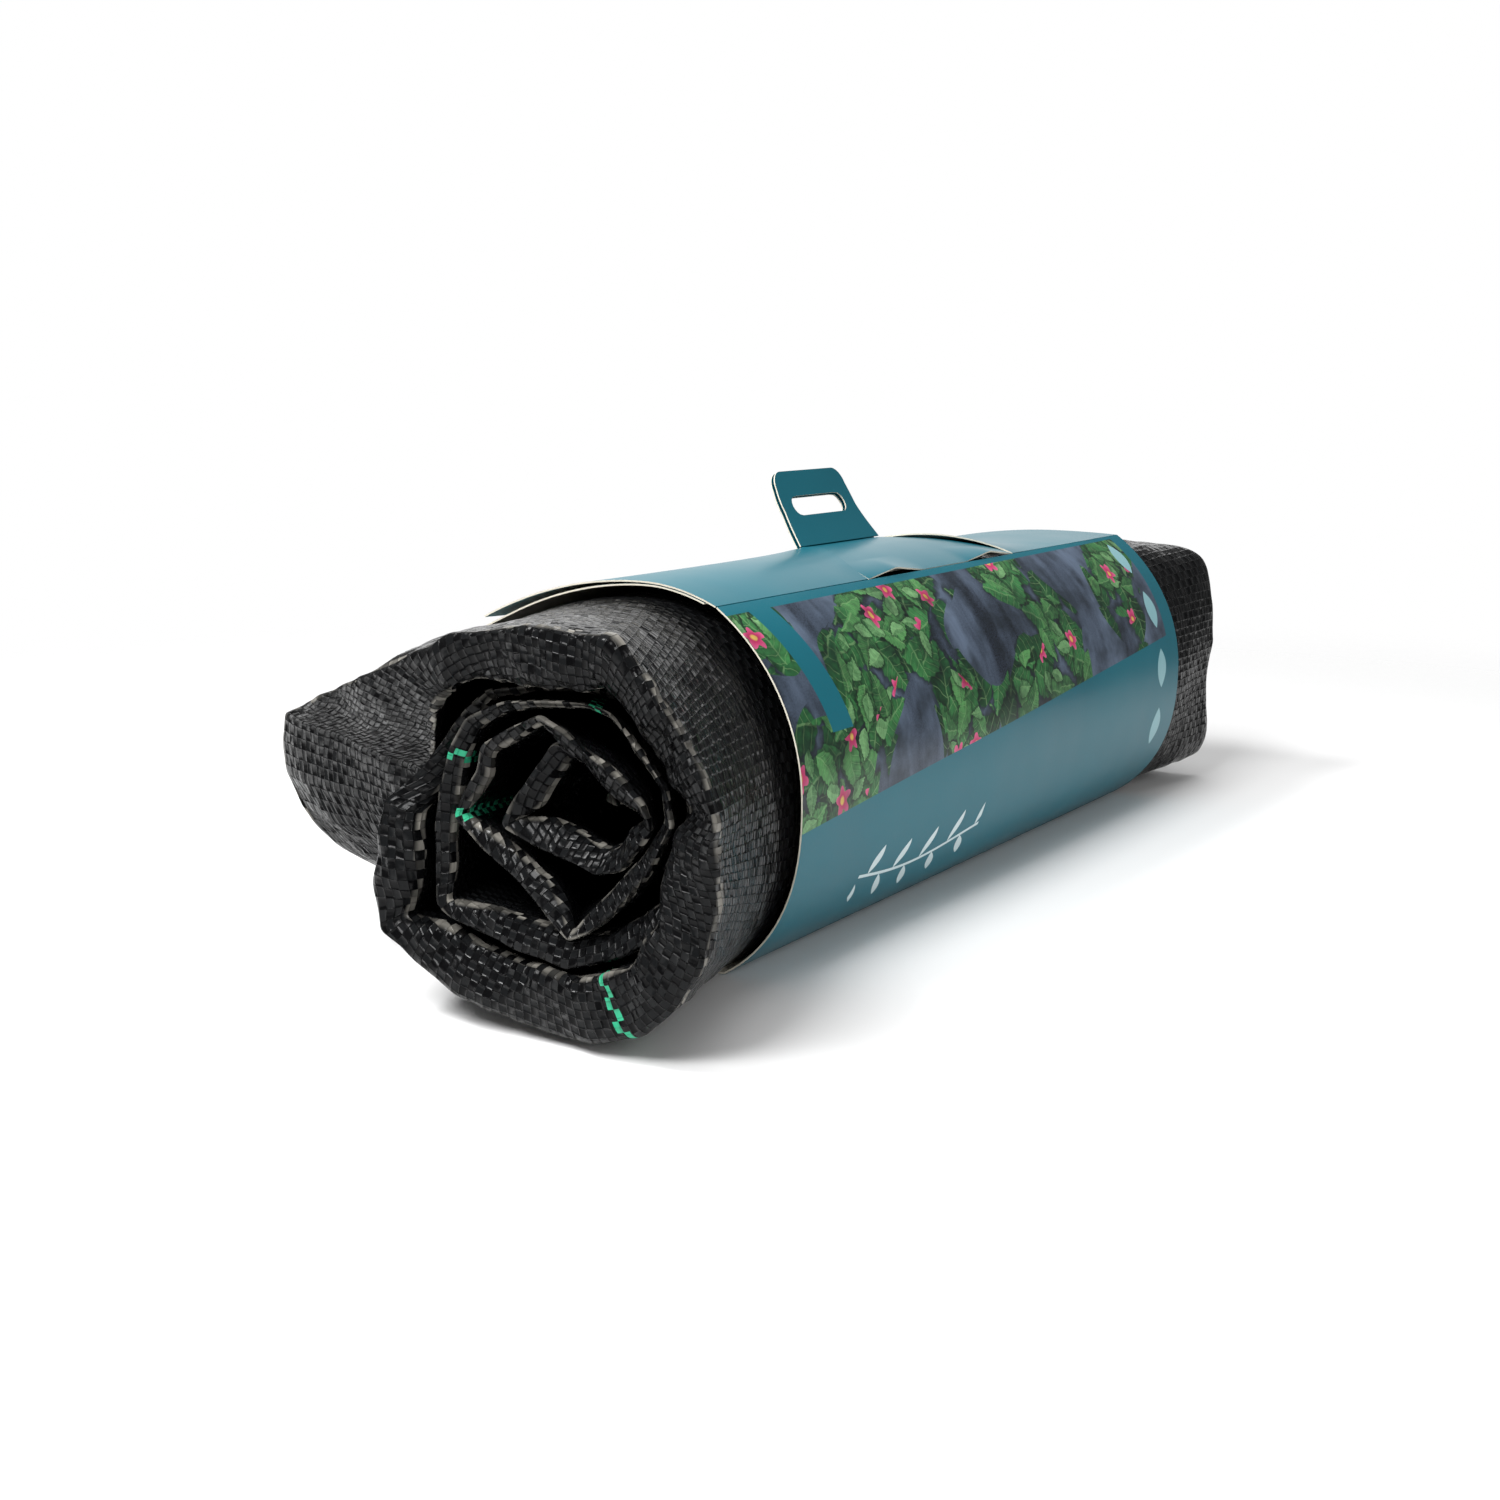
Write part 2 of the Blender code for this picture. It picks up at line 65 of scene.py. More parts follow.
# The strip's own softness, in samples a millimetre apart, and its folds at both ends
EDGE_SOFTNESS = 0.9
WOUND_SOFTNESS = 3.0
END_FOLD_COLUMNS = 5.0
FOLD_ROUNDNESS = 3.6
NEAR_FOLD_DEPTH = (1.5 * MM, 4 * MM)
WIDE_FOLD = 40 * MM
WIDE_FOLD_RUN = 16 * MM
THICK_FOLD = 12 * MM
FAR_FOLD_DEPTH = 5 * MM
FAR_WAVER = 1.5 * MM
WAVERS_PER_RADIAN = 2.3
SHOULDER = 3.5 * MM
SHOULDER_LEAN = 0.7
SHOULDER_COLUMN = 109
SHOULDER_SPAN = 14.0
# Where the strip is wound tight, each turn reaches this share of the outer one's way out
TURN_SHARES = (1.0, 0.81, 0.62, 0.44, 0.27, 0.12, 0.04)
STEP_IN = 0.2
TURN_GAP = 1.2 * MM
SLEEVE_MIDDLE = (0.0, 51 * MM)
ROLL_TO_CARD = 4.6 * MM
RISE_IN_SLEEVE = 2.6 * MM
FAR_MIDDLE = (5 * MM, 52.5 * MM)
FAR_HALF_WIDTH = 59.5 * MM
FAR_HALF_HEIGHT = 48.5 * MM
FAR_BOXINESS = 6.6
# Crumples: how free the cloth is to buckle along the roll, from the near edge, 0, to the far
# one, 3; then the size, depth and pattern of the large and the small facets in millimetres
FREE_AT = (0, 0.15, 0.5, 1, 2, 2.2, 3)
FREE_SHARES = (0.7, 0.5, 0.35, 0, 0, 0.35, 0.5)
CRUMPLES = ((19.0, 3.2, 1), (8.0, 1.5, 2))
SHARP_CRUMPLE = math.radians(28)
# How many rows of the mesh run along each part of the strip
NEAR_ROWS = 44
FOLD_ROWS = 26
FAR_ROWS = 22
# Width of a tape, the tracer yarns' half width and the length after which they change sides, in
# millimetres as the cloth's map is
TAPE = 2.4
YARN_WIDTH = 1.7
YARN_TURN = 3.2
# The sleeve that the roll lies in: its front crease, its top's crest and rear end, its widest
# place, its flat foot, and how far one layer of card lies under another
CREASE = (40 * MM, 107.5 * MM)
CREST = (13.5 * MM, 113.5 * MM)
FLAP_REAR = (-45 * MM, 98 * MM)
SLEEVE_HALF_WIDTH = 68.5 * MM
SLEEVE_BULGE_Z = 54 * MM
SLEEVE_FOOT = 42 * MM
SIDE_ROUNDNESS = 2.0
FOOT_ROUNDNESS = 2.4
LAYER = 0.8 * MM
# The crest sags over the slacker far part of the roll, and the roll with it
CREST_SAG = 5.2 * MM
SAG_FROM_Y = 12 * MM
SAG_RUN = 80 * MM
SAG_END_RUN = 45 * MM
SAG_BEHIND = 22 * MM
SAG_FROM_Z = 60 * MM
SAG_DEPTH_Z = 40 * MM

# The ear at the near end: outer x and z, inner x and z, and how far each side lies behind the rim
EAR = (
    (-45, 28, -22, 27, 37, 20), (-72, 33, -23, 35, 39, 20), (-88, 41, -23, 43, 40, 20),
    (-94, 52, -22, 51, 40, 20), (-94, 63, -19, 58, 40, 19), (-92, 71, -15, 64, 39, 17),
    (-69, 78, -9, 72, 29, 13), (-46, 87, -4, 80, 17, 8), (-22, 96, 0, 88, 7, 4),
)
# The strip's folded edge from the rim in to the core: x, z, half thickness, and how far the
# fold's outer and inner crease lie behind the rim
RIMS = (
    (2, 97, 6, 2, 5), (12, 100, 7, 1, 5), (24, 101.5, 7.6, 0, 4), (36, 102, 7.8, 0, 3),
    (47, 102, 8.2, 0, 3), (57, 101.5, 7.4, -1, 4), (62.5, 96.5, 7.2, 0, 6), (70, 87.5, 7.4, 0, 8),
    (76.5, 79.5, 7.2, 0, 8), (81, 73, 6.8, -1, 8), (84, 67, 6.4, -1.5, 9), (81, 60, 7, 2, 8),
    (80.5, 46, 8.2, 3, 5), (78, 33, 8.6, 2, 3), (72, 22.5, 8.6, 2, 1), (61, 15, 8.6, 2, 0),
    (48, 11.5, 8.4, 2, 1), (41, 10.5, 8.4, 4, 1), (30, 12, 8.4, 3, 3), (18, 13.5, 8.2, 2, 5),
    (6, 16.5, 7.4, 1, 5), (-6, 20.5, 5.6, 0, 4), (-16, 25, 3.8, -1, 3), (-15.5, 34, 6, 1, 3),
    (-15, 44, 6.4, 1, 3), (-14, 53, 5.6, 0, 4), (-13.5, 58, 4.5, 0, 6), (-8, 65, 3.5, 7, 11),
    (-2, 74, 3, 11, 15), (4, 83, 2.2, 13, 16), (10, 89, 1.3, 14, 16), (24, 91.3, 1, 15, 17),
    (40, 92.3, 1, 15, 17), (54, 91.3, 1, 15, 17), (62, 85, 1, 15, 17), (70, 75.5, 1.2, 14, 16),
    (74.5, 65, 1.6, 12, 15), (72, 52, 2.4, 10, 14), (69, 40, 3, 8, 12), (63, 33, 3.6, 6, 10),
    (53, 28, 4, 4, 8), (42, 25, 4.2, 3, 7), (30, 26.8, 4.2, 3, 6), (17, 29.5, 3.8, 3, 5),
    (4, 31.5, 2.4, 3, 5), (0.5, 33, 1.8, 3, 5), (-0.5, 42, 2.6, 5, 7), (-1, 52, 2.6, 6, 8),
    (1, 63, 2.4, 6, 9), (4, 73.5, 2.2, 6, 9), (9, 82, 2, 7, 9), (20, 87.3, 1.5, 7, 9),
    (34, 89.3, 1.2, 6, 8), (48, 90.2, 1.2, 5, 8), (54.5, 88, 1.2, 6, 9), (61, 79.5, 1.2, 9, 11),
    (68, 70.5, 1.4, 10, 12), (70.5, 62, 2, 8, 11), (64, 51, 2.8, 6, 9), (56, 41.5, 3, 5, 8),
    (48, 33.5, 2.4, 4, 6), (43.5, 30, 1.3, 3, 5), (39, 34.5, 2.4, 4, 6), (33, 41, 2.9, 4, 7),
    (24, 46.5, 2.8, 5, 7), (13, 52, 2.2, 6, 8), (4.5, 57, 1.2, 6, 8), (8, 63, 2, 7, 9),
    (12.5, 69, 2, 7, 9), (13.5, 75.5, 1.7, 7, 9), (24, 81, 2, 6, 8), (33.5, 85.3, 1.4, 5, 7),
    (40, 81, 2.8, 4, 7), (48, 76, 3, 4, 7), (57, 70.5, 3, 4, 7), (64, 65.5, 2.2, 5, 8),
    (65, 61.5, 2, 7, 10), (59.5, 56.5, 3.4, 7, 11), (54.5, 51, 3.6, 7, 12), (49, 49, 3.6, 7, 12),
    (41.5, 52, 3.8, 7, 12), (31, 54.5, 3.4, 7, 12), (21.5, 57, 2, 6, 9), (26.5, 63, 3, 7, 11),
    (31.5, 70, 3, 7, 11), (36.5, 77.5, 2.6, 8, 12), (41, 75, 2.4, 12, 16),
    (46.5, 69.5, 2.2, 15, 19), (49, 65, 1.8, 19, 23), (45, 62, 1.4, 23, 27),
    (38, 62.5, 1.2, 26, 30),
)
# Where a green tracer yarn crosses the folded edge: x and z
TRACERS = ((59, 14.5), (50.4, 90.1), (4, 73.5), (4.5, 57), (48, 71))


def arch_point(x, depth):
    """A point of the sleeve's arched top, at a depth below the outer flap's outer face."""
    x = np.asarray(x, float)
    front = x > CREST[0]
    drop = np.where(front, CREST[1] - CREASE[1], CREST[1] - FLAP_REAR[1])
    run = np.where(front, CREASE[0] - CREST[0], CREST[0] - FLAP_REAR[0])
    share = (x - CREST[0]) / run
    lean = np.arctan(-2 * drop * share / run)
    return x + depth * np.sin(lean), CREST[1] - drop * share**2 - depth * np.cos(lean)


def ease(share):
    """Turns a steady share from 0 to 1 into one that starts and ends softly."""
    return share * share * (3 - 2 * share)


def sag(x, y):
    """How far the sleeve's crest, and the roll in it, sink towards the far mouth."""
    sinking = ease(np.clip((y - SAG_FROM_Y) / SAG_RUN, 0, 1))
    rising = ease(np.clip((y - SLEEVE_MOUTH) / SAG_END_RUN, 0, 1))
    half_width = CREASE[0] - CREST[0] + SAG_BEHIND * (x < CREST[0])
    sideways = np.clip(1 - ((x - CREST[0]) / half_width) ** 2, 0, 1)
    return CREST_SAG * (sinking - rising) * sideways


def sleeve_side(x, z, roundness, steps):
    """One rounded side of the sleeve, from its widest place to where it meets a fold at x, z."""
    closing = abs(z - SLEEVE_BULGE_Z) / (1 - (abs(x) / SLEEVE_HALF_WIDTH) ** roundness) ** (1 / roundness)
    side_z = SLEEVE_BULGE_Z + (z - SLEEVE_BULGE_Z) * np.sin(np.linspace(0, math.pi / 2, steps))
    share = (np.abs(side_z - SLEEVE_BULGE_Z) / closing) ** roundness
    return np.stack([SLEEVE_HALF_WIDTH * (1 - share) ** (1 / roundness), side_z], 1)


def sleeve_loop(steps=40):
    """The sleeve's outer face, from the front crease under the roll and up the back."""
    down = sleeve_side(*CREASE, SIDE_ROUNDNESS, steps)[:0:-1]
    under = sleeve_side(SLEEVE_FOOT, 0, FOOT_ROUNDNESS, steps)
    floor_x = np.linspace(SLEEVE_FOOT, -SLEEVE_FOOT, steps)[1:-1]
    flat = np.stack([floor_x, 0 * floor_x], 1)
    up = sleeve_side(*arch_point(FLAP_REAR[0], LAYER), SIDE_ROUNDNESS, steps)[1:-1]
    mirror = np.array([-1, 1])
    return np.concatenate([down, under, flat, (under * mirror)[::-1], up * mirror])


def smooth_line(values, width):
    """Softens a sampled line by a bell curve a few samples wide."""
    reach = int(math.ceil(3 * width))
    bell = np.exp(-0.5 * (np.arange(-reach, reach + 1) / width) ** 2)
    padded = np.pad(values, ((reach, reach), (0, 0)), mode="edge")
    bell /= bell.sum()
    return np.stack([np.convolve(column, bell, mode="valid") for column in padded.T], 1)


def run_along(points):
    """How far each point of a line lies from its first one, along the line."""
    steps = np.linalg.norm(np.diff(points, axis=0), axis=1)
    return np.concatenate([[0], np.cumsum(steps)])


# The near edge of the strip every millimetre: outer and inner x and z, and both setbacks
rims = np.array(RIMS, float)
along_rims = np.gradient(rims[:, :2], axis=0)
along_rims /= np.linalg.norm(along_rims, axis=1)[:, None]
out = np.stack([-along_rims[:, 1], along_rims[:, 0]], 1) * rims[:, 2:3]
rim_rows = np.concatenate([rims[:, :2] + out, rims[:, :2] - out, rims[:, 3:]], 1)
edge_rows = np.concatenate([np.array(EAR, float), rim_rows])
length = run_along((edge_rows[:, :2] + edge_rows[:, 2:4]) / 2)
places = np.arange(0, length[-1], 1.0)
edge = np.stack([np.interp(places, length, values) for values in edge_rows.T], 1)
edge = smooth_line(edge, EDGE_SOFTNESS) * MM
COLUMNS = len(edge)
middle_line = (edge[:, :2] + edge[:, 2:4]) / 2
thickness = np.linalg.norm(edge[:, :2] - edge[:, 2:4], axis=1)

# How far the strip has turned about the roll's axis at each of these places
turned = np.unwrap(np.arctan2(middle_line[:, 1] - ROLL_AXIS[1], middle_line[:, 0] - ROLL_AXIS[0]))
start_angle = turned[0]
wound = np.maximum.accumulate(start_angle - turned)
wound = smooth_line(wound[:, None], WOUND_SOFTNESS)[:, 0]

loop = sleeve_loop()
arch_x = np.linspace(FLAP_REAR[0], CREASE[0], 60)
room = np.concatenate([loop, np.stack(arch_point(arch_x, 0), 1)]) - (0, SLEEVE_BULGE_Z)
room_angle = np.arctan2(room[:, 1], room[:, 0])


def sleeve_reach(angle):
    """The outer turn's reach in the sleeve. The roll lies on the sleeve's floor, and stands up a
    little into the room that this leaves under the arch."""
    reach = np.interp(angle, room_angle, np.hypot(room[:, 0], room[:, 1]), period=2 * math.pi)
    return reach - ROLL_TO_CARD + RISE_IN_SLEEVE * np.maximum(np.sin(angle), 0) ** 2


def far_reach(angle):
    """The outer turn's reach at the far end, which is boxier, with flat folds."""
    across = np.abs(np.cos(angle)) / FAR_HALF_WIDTH
    up = np.abs(np.sin(angle)) / FAR_HALF_HEIGHT
    folds = 1 + 0.010 * np.sin(5 * angle + 0.6) + 0.006 * np.sin(9 * angle)
    return (across**FAR_BOXINESS + up**FAR_BOXINESS) ** (-1 / FAR_BOXINESS) * folds


def wound_tight(middle, reach_at, turned):
    """The strip's face where it is wound tight round a middle. Each turn keeps its own share of
    the outer turn's reach, and steps in to the next one in its last fifth."""
    turns = turned / (2 * math.pi)
    whole = np.floor(turns)
    step = ease(np.clip((turns - whole - (1 - STEP_IN)) / STEP_IN, 0, 1))
    share = np.interp(whole + step, range(len(TURN_SHARES)), TURN_SHARES)
    angle = start_angle - turned
    reach = reach_at(angle) * share
    return np.stack([middle[0] + reach * np.cos(angle), middle[1] + reach * np.sin(angle)], 1)


def strip_faces(middle, reach_at):
    """The strip's outer face, and its inner one just outside the next turn."""
    gap = TURN_GAP * np.stack([np.cos(start_angle - wound), np.sin(start_angle - wound)], 1)
    inner = wound_tight(middle, reach_at, wound + 2 * math.pi) + gap
    return wound_tight(middle, reach_at, wound), inner


near_faces = (edge[:, :2], edge[:, 2:4])
sleeve_faces = strip_faces(SLEEVE_MIDDLE, sleeve_reach)
far_faces = strip_faces(FAR_MIDDLE, far_reach)
run_in = np.clip(np.arange(COLUMNS) / END_FOLD_COLUMNS, 0.02, 1)
end_fold = np.sqrt(1 - (1 - run_in) ** 2)
end_fold = end_fold * end_fold[::-1]
# The near folds bulge by half their thickness, and the ear's wide, flat fold by less
fold_depth = np.clip(thickness * 0.5, *NEAR_FOLD_DEPTH)
fold_depth = fold_depth * np.clip((WIDE_FOLD - thickness) / WIDE_FOLD_RUN, 0.3, 1)
# The loose outer turn lifts off the rim between the ear and the sleeve's mouth
shoulder = np.exp(-((np.arange(COLUMNS) - SHOULDER_COLUMN) / SHOULDER_SPAN) ** 2)


def row_points(across, along):
    """One row of the strip: across goes from the outer face, 0, to the inner one, 1, and along
    from the near edge, 0, through the sleeve, 1 to 2, to the far edge, 3."""
    across = 0.5 + (across - 0.5) * end_fold
    side = across[:, None]
    bulge = np.clip(1 - np.abs(2 * across - 1) ** FOLD_ROUNDNESS, 0, 1) ** (1 / FOLD_ROUNDNESS)
    setback = edge[:, 4] + (edge[:, 5] - edge[:, 4]) * across
    faces = (near_faces, sleeve_faces, far_faces)
    near, sleeve, far = (outer + (inner - outer) * side for outer, inner in faces)
    near_y = ROLL_NEAR_Y + setback + fold_depth * (1 - bulge)
    waver = FAR_WAVER * (1 + np.sin(wound * WAVERS_PER_RADIAN))
    far_y = ROLL_FAR_Y - FAR_FOLD_DEPTH * (1 - bulge) - waver
    if along <= 1:
        flat = near + (sleeve - near) * along
        flat[:, 1] += SHOULDER * np.sin(math.pi * along**SHOULDER_LEAN) * shoulder
        y = near_y + (-SLEEVE_MOUTH - near_y) * along
    elif along <= 2:
        flat = sleeve
        y = np.full(COLUMNS, -SLEEVE_MOUTH + 2 * SLEEVE_MOUTH * (along - 1))
    else:
        flat = sleeve + (far - sleeve) * (along - 2)
        y = SLEEVE_MOUTH + (far_y - SLEEVE_MOUTH) * (along - 2)
    top = np.clip((flat[:, 1] - SAG_FROM_Z) / SAG_DEPTH_Z, 0, 1)
    z = flat[:, 1] - sag(flat[:, 0], y) * top
    return np.stack([flat[:, 0], y, np.maximum(z, ROLL_SEAT_Z)], 1)


# Rows round the strip: in along its outer face, round its near folds and back out along the inner
near_steps = np.linspace(0, 1, NEAR_ROWS) ** 1.15
sleeve_steps = (1.2, 1.4, 1.55, 1.62, 1.69, 1.76, 1.85, 1.93)
far_steps = np.linspace(2, 3, FAR_ROWS)
cap = (1 - np.cos(np.linspace(0, math.pi, FOLD_ROWS))) / 2
outer_rows = [(0, along) for along in (*far_steps[::-1], *sleeve_steps[::-1], *near_steps[:0:-1])]
cap_rows = [(across, 0) for across in cap]
inner_steps = (*near_steps[1:30:2], 0.75, 1, *sleeve_steps[::2], *far_steps[::2])
inner_rows = [(1, along) for along in inner_steps]
far_cap_rows = [(across, 3) for across in cap[-2:0:-2]]
rows = outer_rows + cap_rows + inner_rows + far_cap_rows
ROWS = len(rows)
grid = np.array([row_points(across, along) for across, along in rows])

# Distances over the cloth in millimetres, round the strip's edge and along its winding
step = np.linalg.norm(np.diff(grid, axis=0, append=grid[:1]), axis=2)
over_cloth = np.concatenate([np.zeros((1, COLUMNS)), np.cumsum(step, axis=0)]) / MM
over_cloth -= over_cloth[len(far_steps) + len(sleeve_steps)]
tight_line = (sleeve_faces[0] + sleeve_faces[1]) / 2
line_steps = [np.linalg.norm(np.diff(line, axis=0), axis=1) for line in (middle_line, tight_line)]
along_cloth = np.concatenate([[0], np.cumsum(sum(line_steps) / 2)]) / MM


def chance_at(first, second, seed):
    """A fixed chance value from -0.5 to 0.5 for each place of a lattice."""
    return (np.sin(first * 127.1 + second * 311.7 + seed * 74.7) * 43758.5453) % 1 - 0.5


def facets(x, y, size, seed):
    """Heights of flat triangles, about that many millimetres wide, that meet at sharp creases."""
    x, y = x / size, y / size
    x, y = x + 0.35 * np.sin(y * 2.1 + seed), y + 0.35 * np.sin(x * 1.7 + 2 * seed)
    lean = (x + y) * 0.366
    first, second = np.floor(x + lean), np.floor(y + lean)
    u, v = x + lean - first, y + lean - second
    low, high = chance_at(first, second, seed), chance_at(first + 1, second + 1, seed)
    right, up = chance_at(first + 1, second, seed), chance_at(first, second + 1, seed)
    by_right = low + u * (right - low) + v * (high - right)
    return np.where(u > v, by_right, low + v * (up - low) + u * (high - up))


# The cloth's own crumples: it is stiff, so it buckles into small flat facets with sharp creases,
# most at the near folds and less towards the sleeve, which holds it smooth
across_rows = np.roll(grid, -1, 0) - np.roll(grid, 1, 0)
normals = np.cross(across_rows, np.gradient(grid, axis=1))
normals /= np.maximum(np.linalg.norm(normals, axis=2), 1e-12)[:, :, None]
row_along = np.array([along for across, along in rows])
free = np.where(row_along == 0, 1.0, np.interp(row_along, FREE_AT, FREE_SHARES))[:, None]
loose = np.clip(thickness / THICK_FOLD, 0.3, 1)[None, :]
wound_place = np.broadcast_to(along_cloth, (ROWS, COLUMNS))
crumple = sum(depth * facets(wound_place, over_cloth[:ROWS], size, seed) for size, depth, seed in CRUMPLES)
grid = grid + normals * (crumple * free * loose * MM)[:, :, None]
grid[:, :, 2] = np.maximum(grid[:, :, 2], ROLL_SEAT_Z)

faces = []
for row in range(ROWS):
    first, after = row * COLUMNS, (row + 1) % ROWS * COLUMNS
    for column in range(COLUMNS - 1):
        faces.append((first + column, first + column + 1, after + column + 1, after + column))
start_ring = tuple(range(0, ROWS * COLUMNS, COLUMNS))
end_ring = tuple(index + COLUMNS - 1 for index in start_ring[::-1])
cloth_mesh = bpy.data.meshes.new("rolled_fabric")
cloth_mesh.from_pydata(grid.reshape(-1, 3).tolist(), [], faces + [start_ring, end_ring])

# Flat places on the cloth, and each place's distances from the near folds' two creases
along_rows = np.broadcast_to(along_cloth, (ROWS + 1, COLUMNS))
outer_crease = over_cloth - over_cloth[len(outer_rows)]
inner_crease = over_cloth - over_cloth[len(outer_rows) + len(cap_rows) - 1]
for map_name, values in (("cloth", (along_rows, over_cloth)), ("crease", (outer_crease, inner_crease))):
    coords = np.zeros((len(cloth_mesh.loops), 2), np.float32)
    quads = coords[:4 * len(faces)].reshape(ROWS, COLUMNS - 1, 4, 2)
    for index, (down, right) in enumerate(((0, 0), (0, 1), (1, 1), (1, 0))):
        for axis in (0, 1):
            quads[:, :, index, axis] = values[axis][down:ROWS + down, right:COLUMNS - 1 + right]
    cloth_mesh.uv_layers.new(name=map_name).data.foreach_set("uv", coords.ravel())
cloth_mesh.shade_smooth()
cloth_mesh.set_sharp_from_angle(angle=SHARP_CRUMPLE)


def hex_linear(text):
    """A colour written as sRGB hex, in the linear values that shaders take."""
    values = [int(text[start:start + 2], 16) / 255 for start in (1, 3, 5)]
    return (*[v / 12.92 if v <= 0.04045 else ((v + 0.055) / 1.055) ** 2.4 for v in values], 1.0)


def set_inputs(node, *values, **named):
    """Sets a node's inputs, in order or by name. Text is a colour in sRGB hex, and a node is
    linked by its first output."""
    inputs = [socket for socket in node.inputs if socket.enabled]
    by_name = {socket.name.replace(" ", "_"): socket for socket in inputs}
    given = [*zip(inputs, values), *((by_name[name], value) for name, value in named.items())]
    for socket, value in given:
        if isinstance(value, bpy.types.Node):
            value = next(output for output in value.outputs if output.enabled)
        if isinstance(value, bpy.types.NodeSocket):
            node.id_data.links.new(value, socket)
        else:
            socket.default_value = hex_linear(value) if isinstance(value, str) else value


def add_node(tree, kind, *values, **named):
    """Adds a shader node. A kind in capitals is a Math node's operation, and a word after a kind
    says what that node works with. Names in lower case are settings, and the others are inputs.
    A ramp's stops are places with their colours."""
    kind, _, word = ("Math " + kind if kind.isupper() else kind).partition(" ")
    node = tree.nodes.new("ShaderNode" + kind)
    if word:
        setattr(node, "data_type" if kind == "Mix" else "operation", word)
    settings = {name: named.pop(name) for name in list(named) if name.islower()}
    for index, (place, colour) in enumerate(settings.pop("stops", ())):
        stops = node.color_ramp.elements
        stop = stops[index] if index < 2 else stops.new(place)
        stop.position, stop.color = place, hex_linear(colour)
    for name, value in settings.items():
        setattr(node, name, value)
    set_inputs(node, *values, **named)
    return node


def new_material(name):
    """A material with only its output and its shader, and the way to add nodes to it."""
    made = bpy.data.materials.new(name)
    made.use_nodes = True
    add = functools.partial(add_node, made.node_tree)
    return made, made.node_tree.nodes["Principled BSDF"], add


# Woven polypropylene tape: flat extruded tapes 2.4 mm wide in plain weave. Warp tapes reflect less
# than weft tapes: they are rougher, and their base colour is painted darker as painted sheen. Each
# tape lies at its own slight tilt, so the cloth looks like a black chequer that glitters in small blocks,
# with a broken bright line along each sharp fold.
cloth, shader, add = new_material("woven_polypropylene_tape")
cloth_place = add("SeparateXYZ", Vector=add("UVMap", uv_map="cloth"))
weft_place = add("DIVIDE", cloth_place.outputs[0], TAPE)
warp_place = add("DIVIDE", cloth_place.outputs[1], TAPE)
weft_cell = add("FLOOR", weft_place)
warp_cell = add("FLOOR", warp_place)
weft_part = add("SUBTRACT", weft_place, weft_cell)
warp_part = add("SUBTRACT", warp_place, warp_cell)
over_under = add("PINGPONG", add("ADD", weft_cell, warp_cell), 1.0)
along_tape = add("Mix FLOAT", over_under, weft_part, warp_part)
across_tape = add("Mix FLOAT", over_under, warp_part, weft_part)
along_arch = add("POWER", add("ABSOLUTE", add("MULTIPLY_ADD", along_tape, 2.0, -1.0)), 3.0)
across_edge = add("POWER", add("ABSOLUTE", add("MULTIPLY_ADD", across_tape, 2.0, -1.0)), 22.0)
cell = add("CombineXYZ", X=weft_cell, Y=warp_cell)
chance = add("TexWhiteNoise", Vector=cell, noise_dimensions="2D")
chances = add("SeparateColor", Color=chance.outputs["Color"]).outputs
weft_tilt = add("MULTIPLY", add("SUBTRACT", chances[0], 0.5), weft_part)
warp_tilt = add("MULTIPLY", add("SUBTRACT", chances[1], 0.5), warp_part)
tilt = add("MULTIPLY", add("ADD", weft_tilt, warp_tilt), 2.4)
height = add("MULTIPLY_ADD", across_edge, -0.7, add("MULTIPLY_ADD", along_arch, -0.9, tilt))
place = add("TexCoord").outputs["Object"]
dents = add("TexNoise", Vector=place, Scale=150.0, Detail=2.0, Roughness=0.5)
dent_bump = add("Bump", Height=dents, Strength=0.6, Distance=1.6 * MM)
tape_bump = add("Bump", Height=height, Strength=1.0, Distance=0.35 * MM, Normal=dent_bump)
# Painted sheen: the tapes on top of the chequer get a lighter base colour, standing in for how they catch
# the light, plus a little random tone per tape
painted_sheen_and_tone = add("MULTIPLY_ADD", over_under, 0.8, add("MULTIPLY", chances[2], 0.2))
black = add("ValToRGB", painted_sheen_and_tone, stops=((0.0, "#060607"), (1.0, "#151617")))
gap = add("MULTIPLY", add("MAXIMUM", across_edge, add("POWER", along_arch, 5.0)), 0.6)
woven = add("Mix RGBA", gap, black, "#030304")
# Each sharp fold whitens some of the tapes that it bends
folds = add("SeparateXYZ", Vector=add("UVMap", uv_map="crease"))
to_outer = add("ABSOLUTE", folds.outputs[0])
to_inner = add("ABSOLUTE", add("ADD", folds.outputs[1], 1.0))
to_fold = add("MINIMUM", to_outer, to_inner)
fold_line = add("MapRange", Value=to_fold, From_Min=1.1, From_Max=2.3, To_Min=1.0, To_Max=0.0)
broken = add("MULTIPLY", fold_line, add("GREATER_THAN", chances[0], 0.35))
whitened = add("MULTIPLY", broken, add("MULTIPLY", chances[1], 0.95))
woven = add("Mix RGBA", whitened, woven, "#85827B")
# Tracer yarns: two narrow green yarns side by side along the roll, seen in turn
turn_number = add("FLOOR", add("DIVIDE", cloth_place.outputs[1], YARN_TURN))
turn_about = add("PINGPONG", turn_number, 1.0)
tracer = 0.0
for x, z in TRACERS:
    column = int(np.argmin(np.hypot(middle_line[:, 0] - x * MM, middle_line[:, 1] - z * MM)))
    aside = add("SUBTRACT", cloth_place.outputs[0], float(along_cloth[column]))
    yarn = add("ABSOLUTE", add("SUBTRACT", add("GREATER_THAN", aside, 0.0), turn_about))
    near_line = add("LESS_THAN", add("ABSOLUTE", aside), YARN_WIDTH)
    tracer = add("ADD", tracer, add("MULTIPLY", yarn, near_line))
dyed = add("Mix RGBA", tracer, woven, "#35A37B")
gloss = add("MULTIPLY_ADD", over_under, -0.07, add("MULTIPLY_ADD", chances[2], 0.12, 0.17))
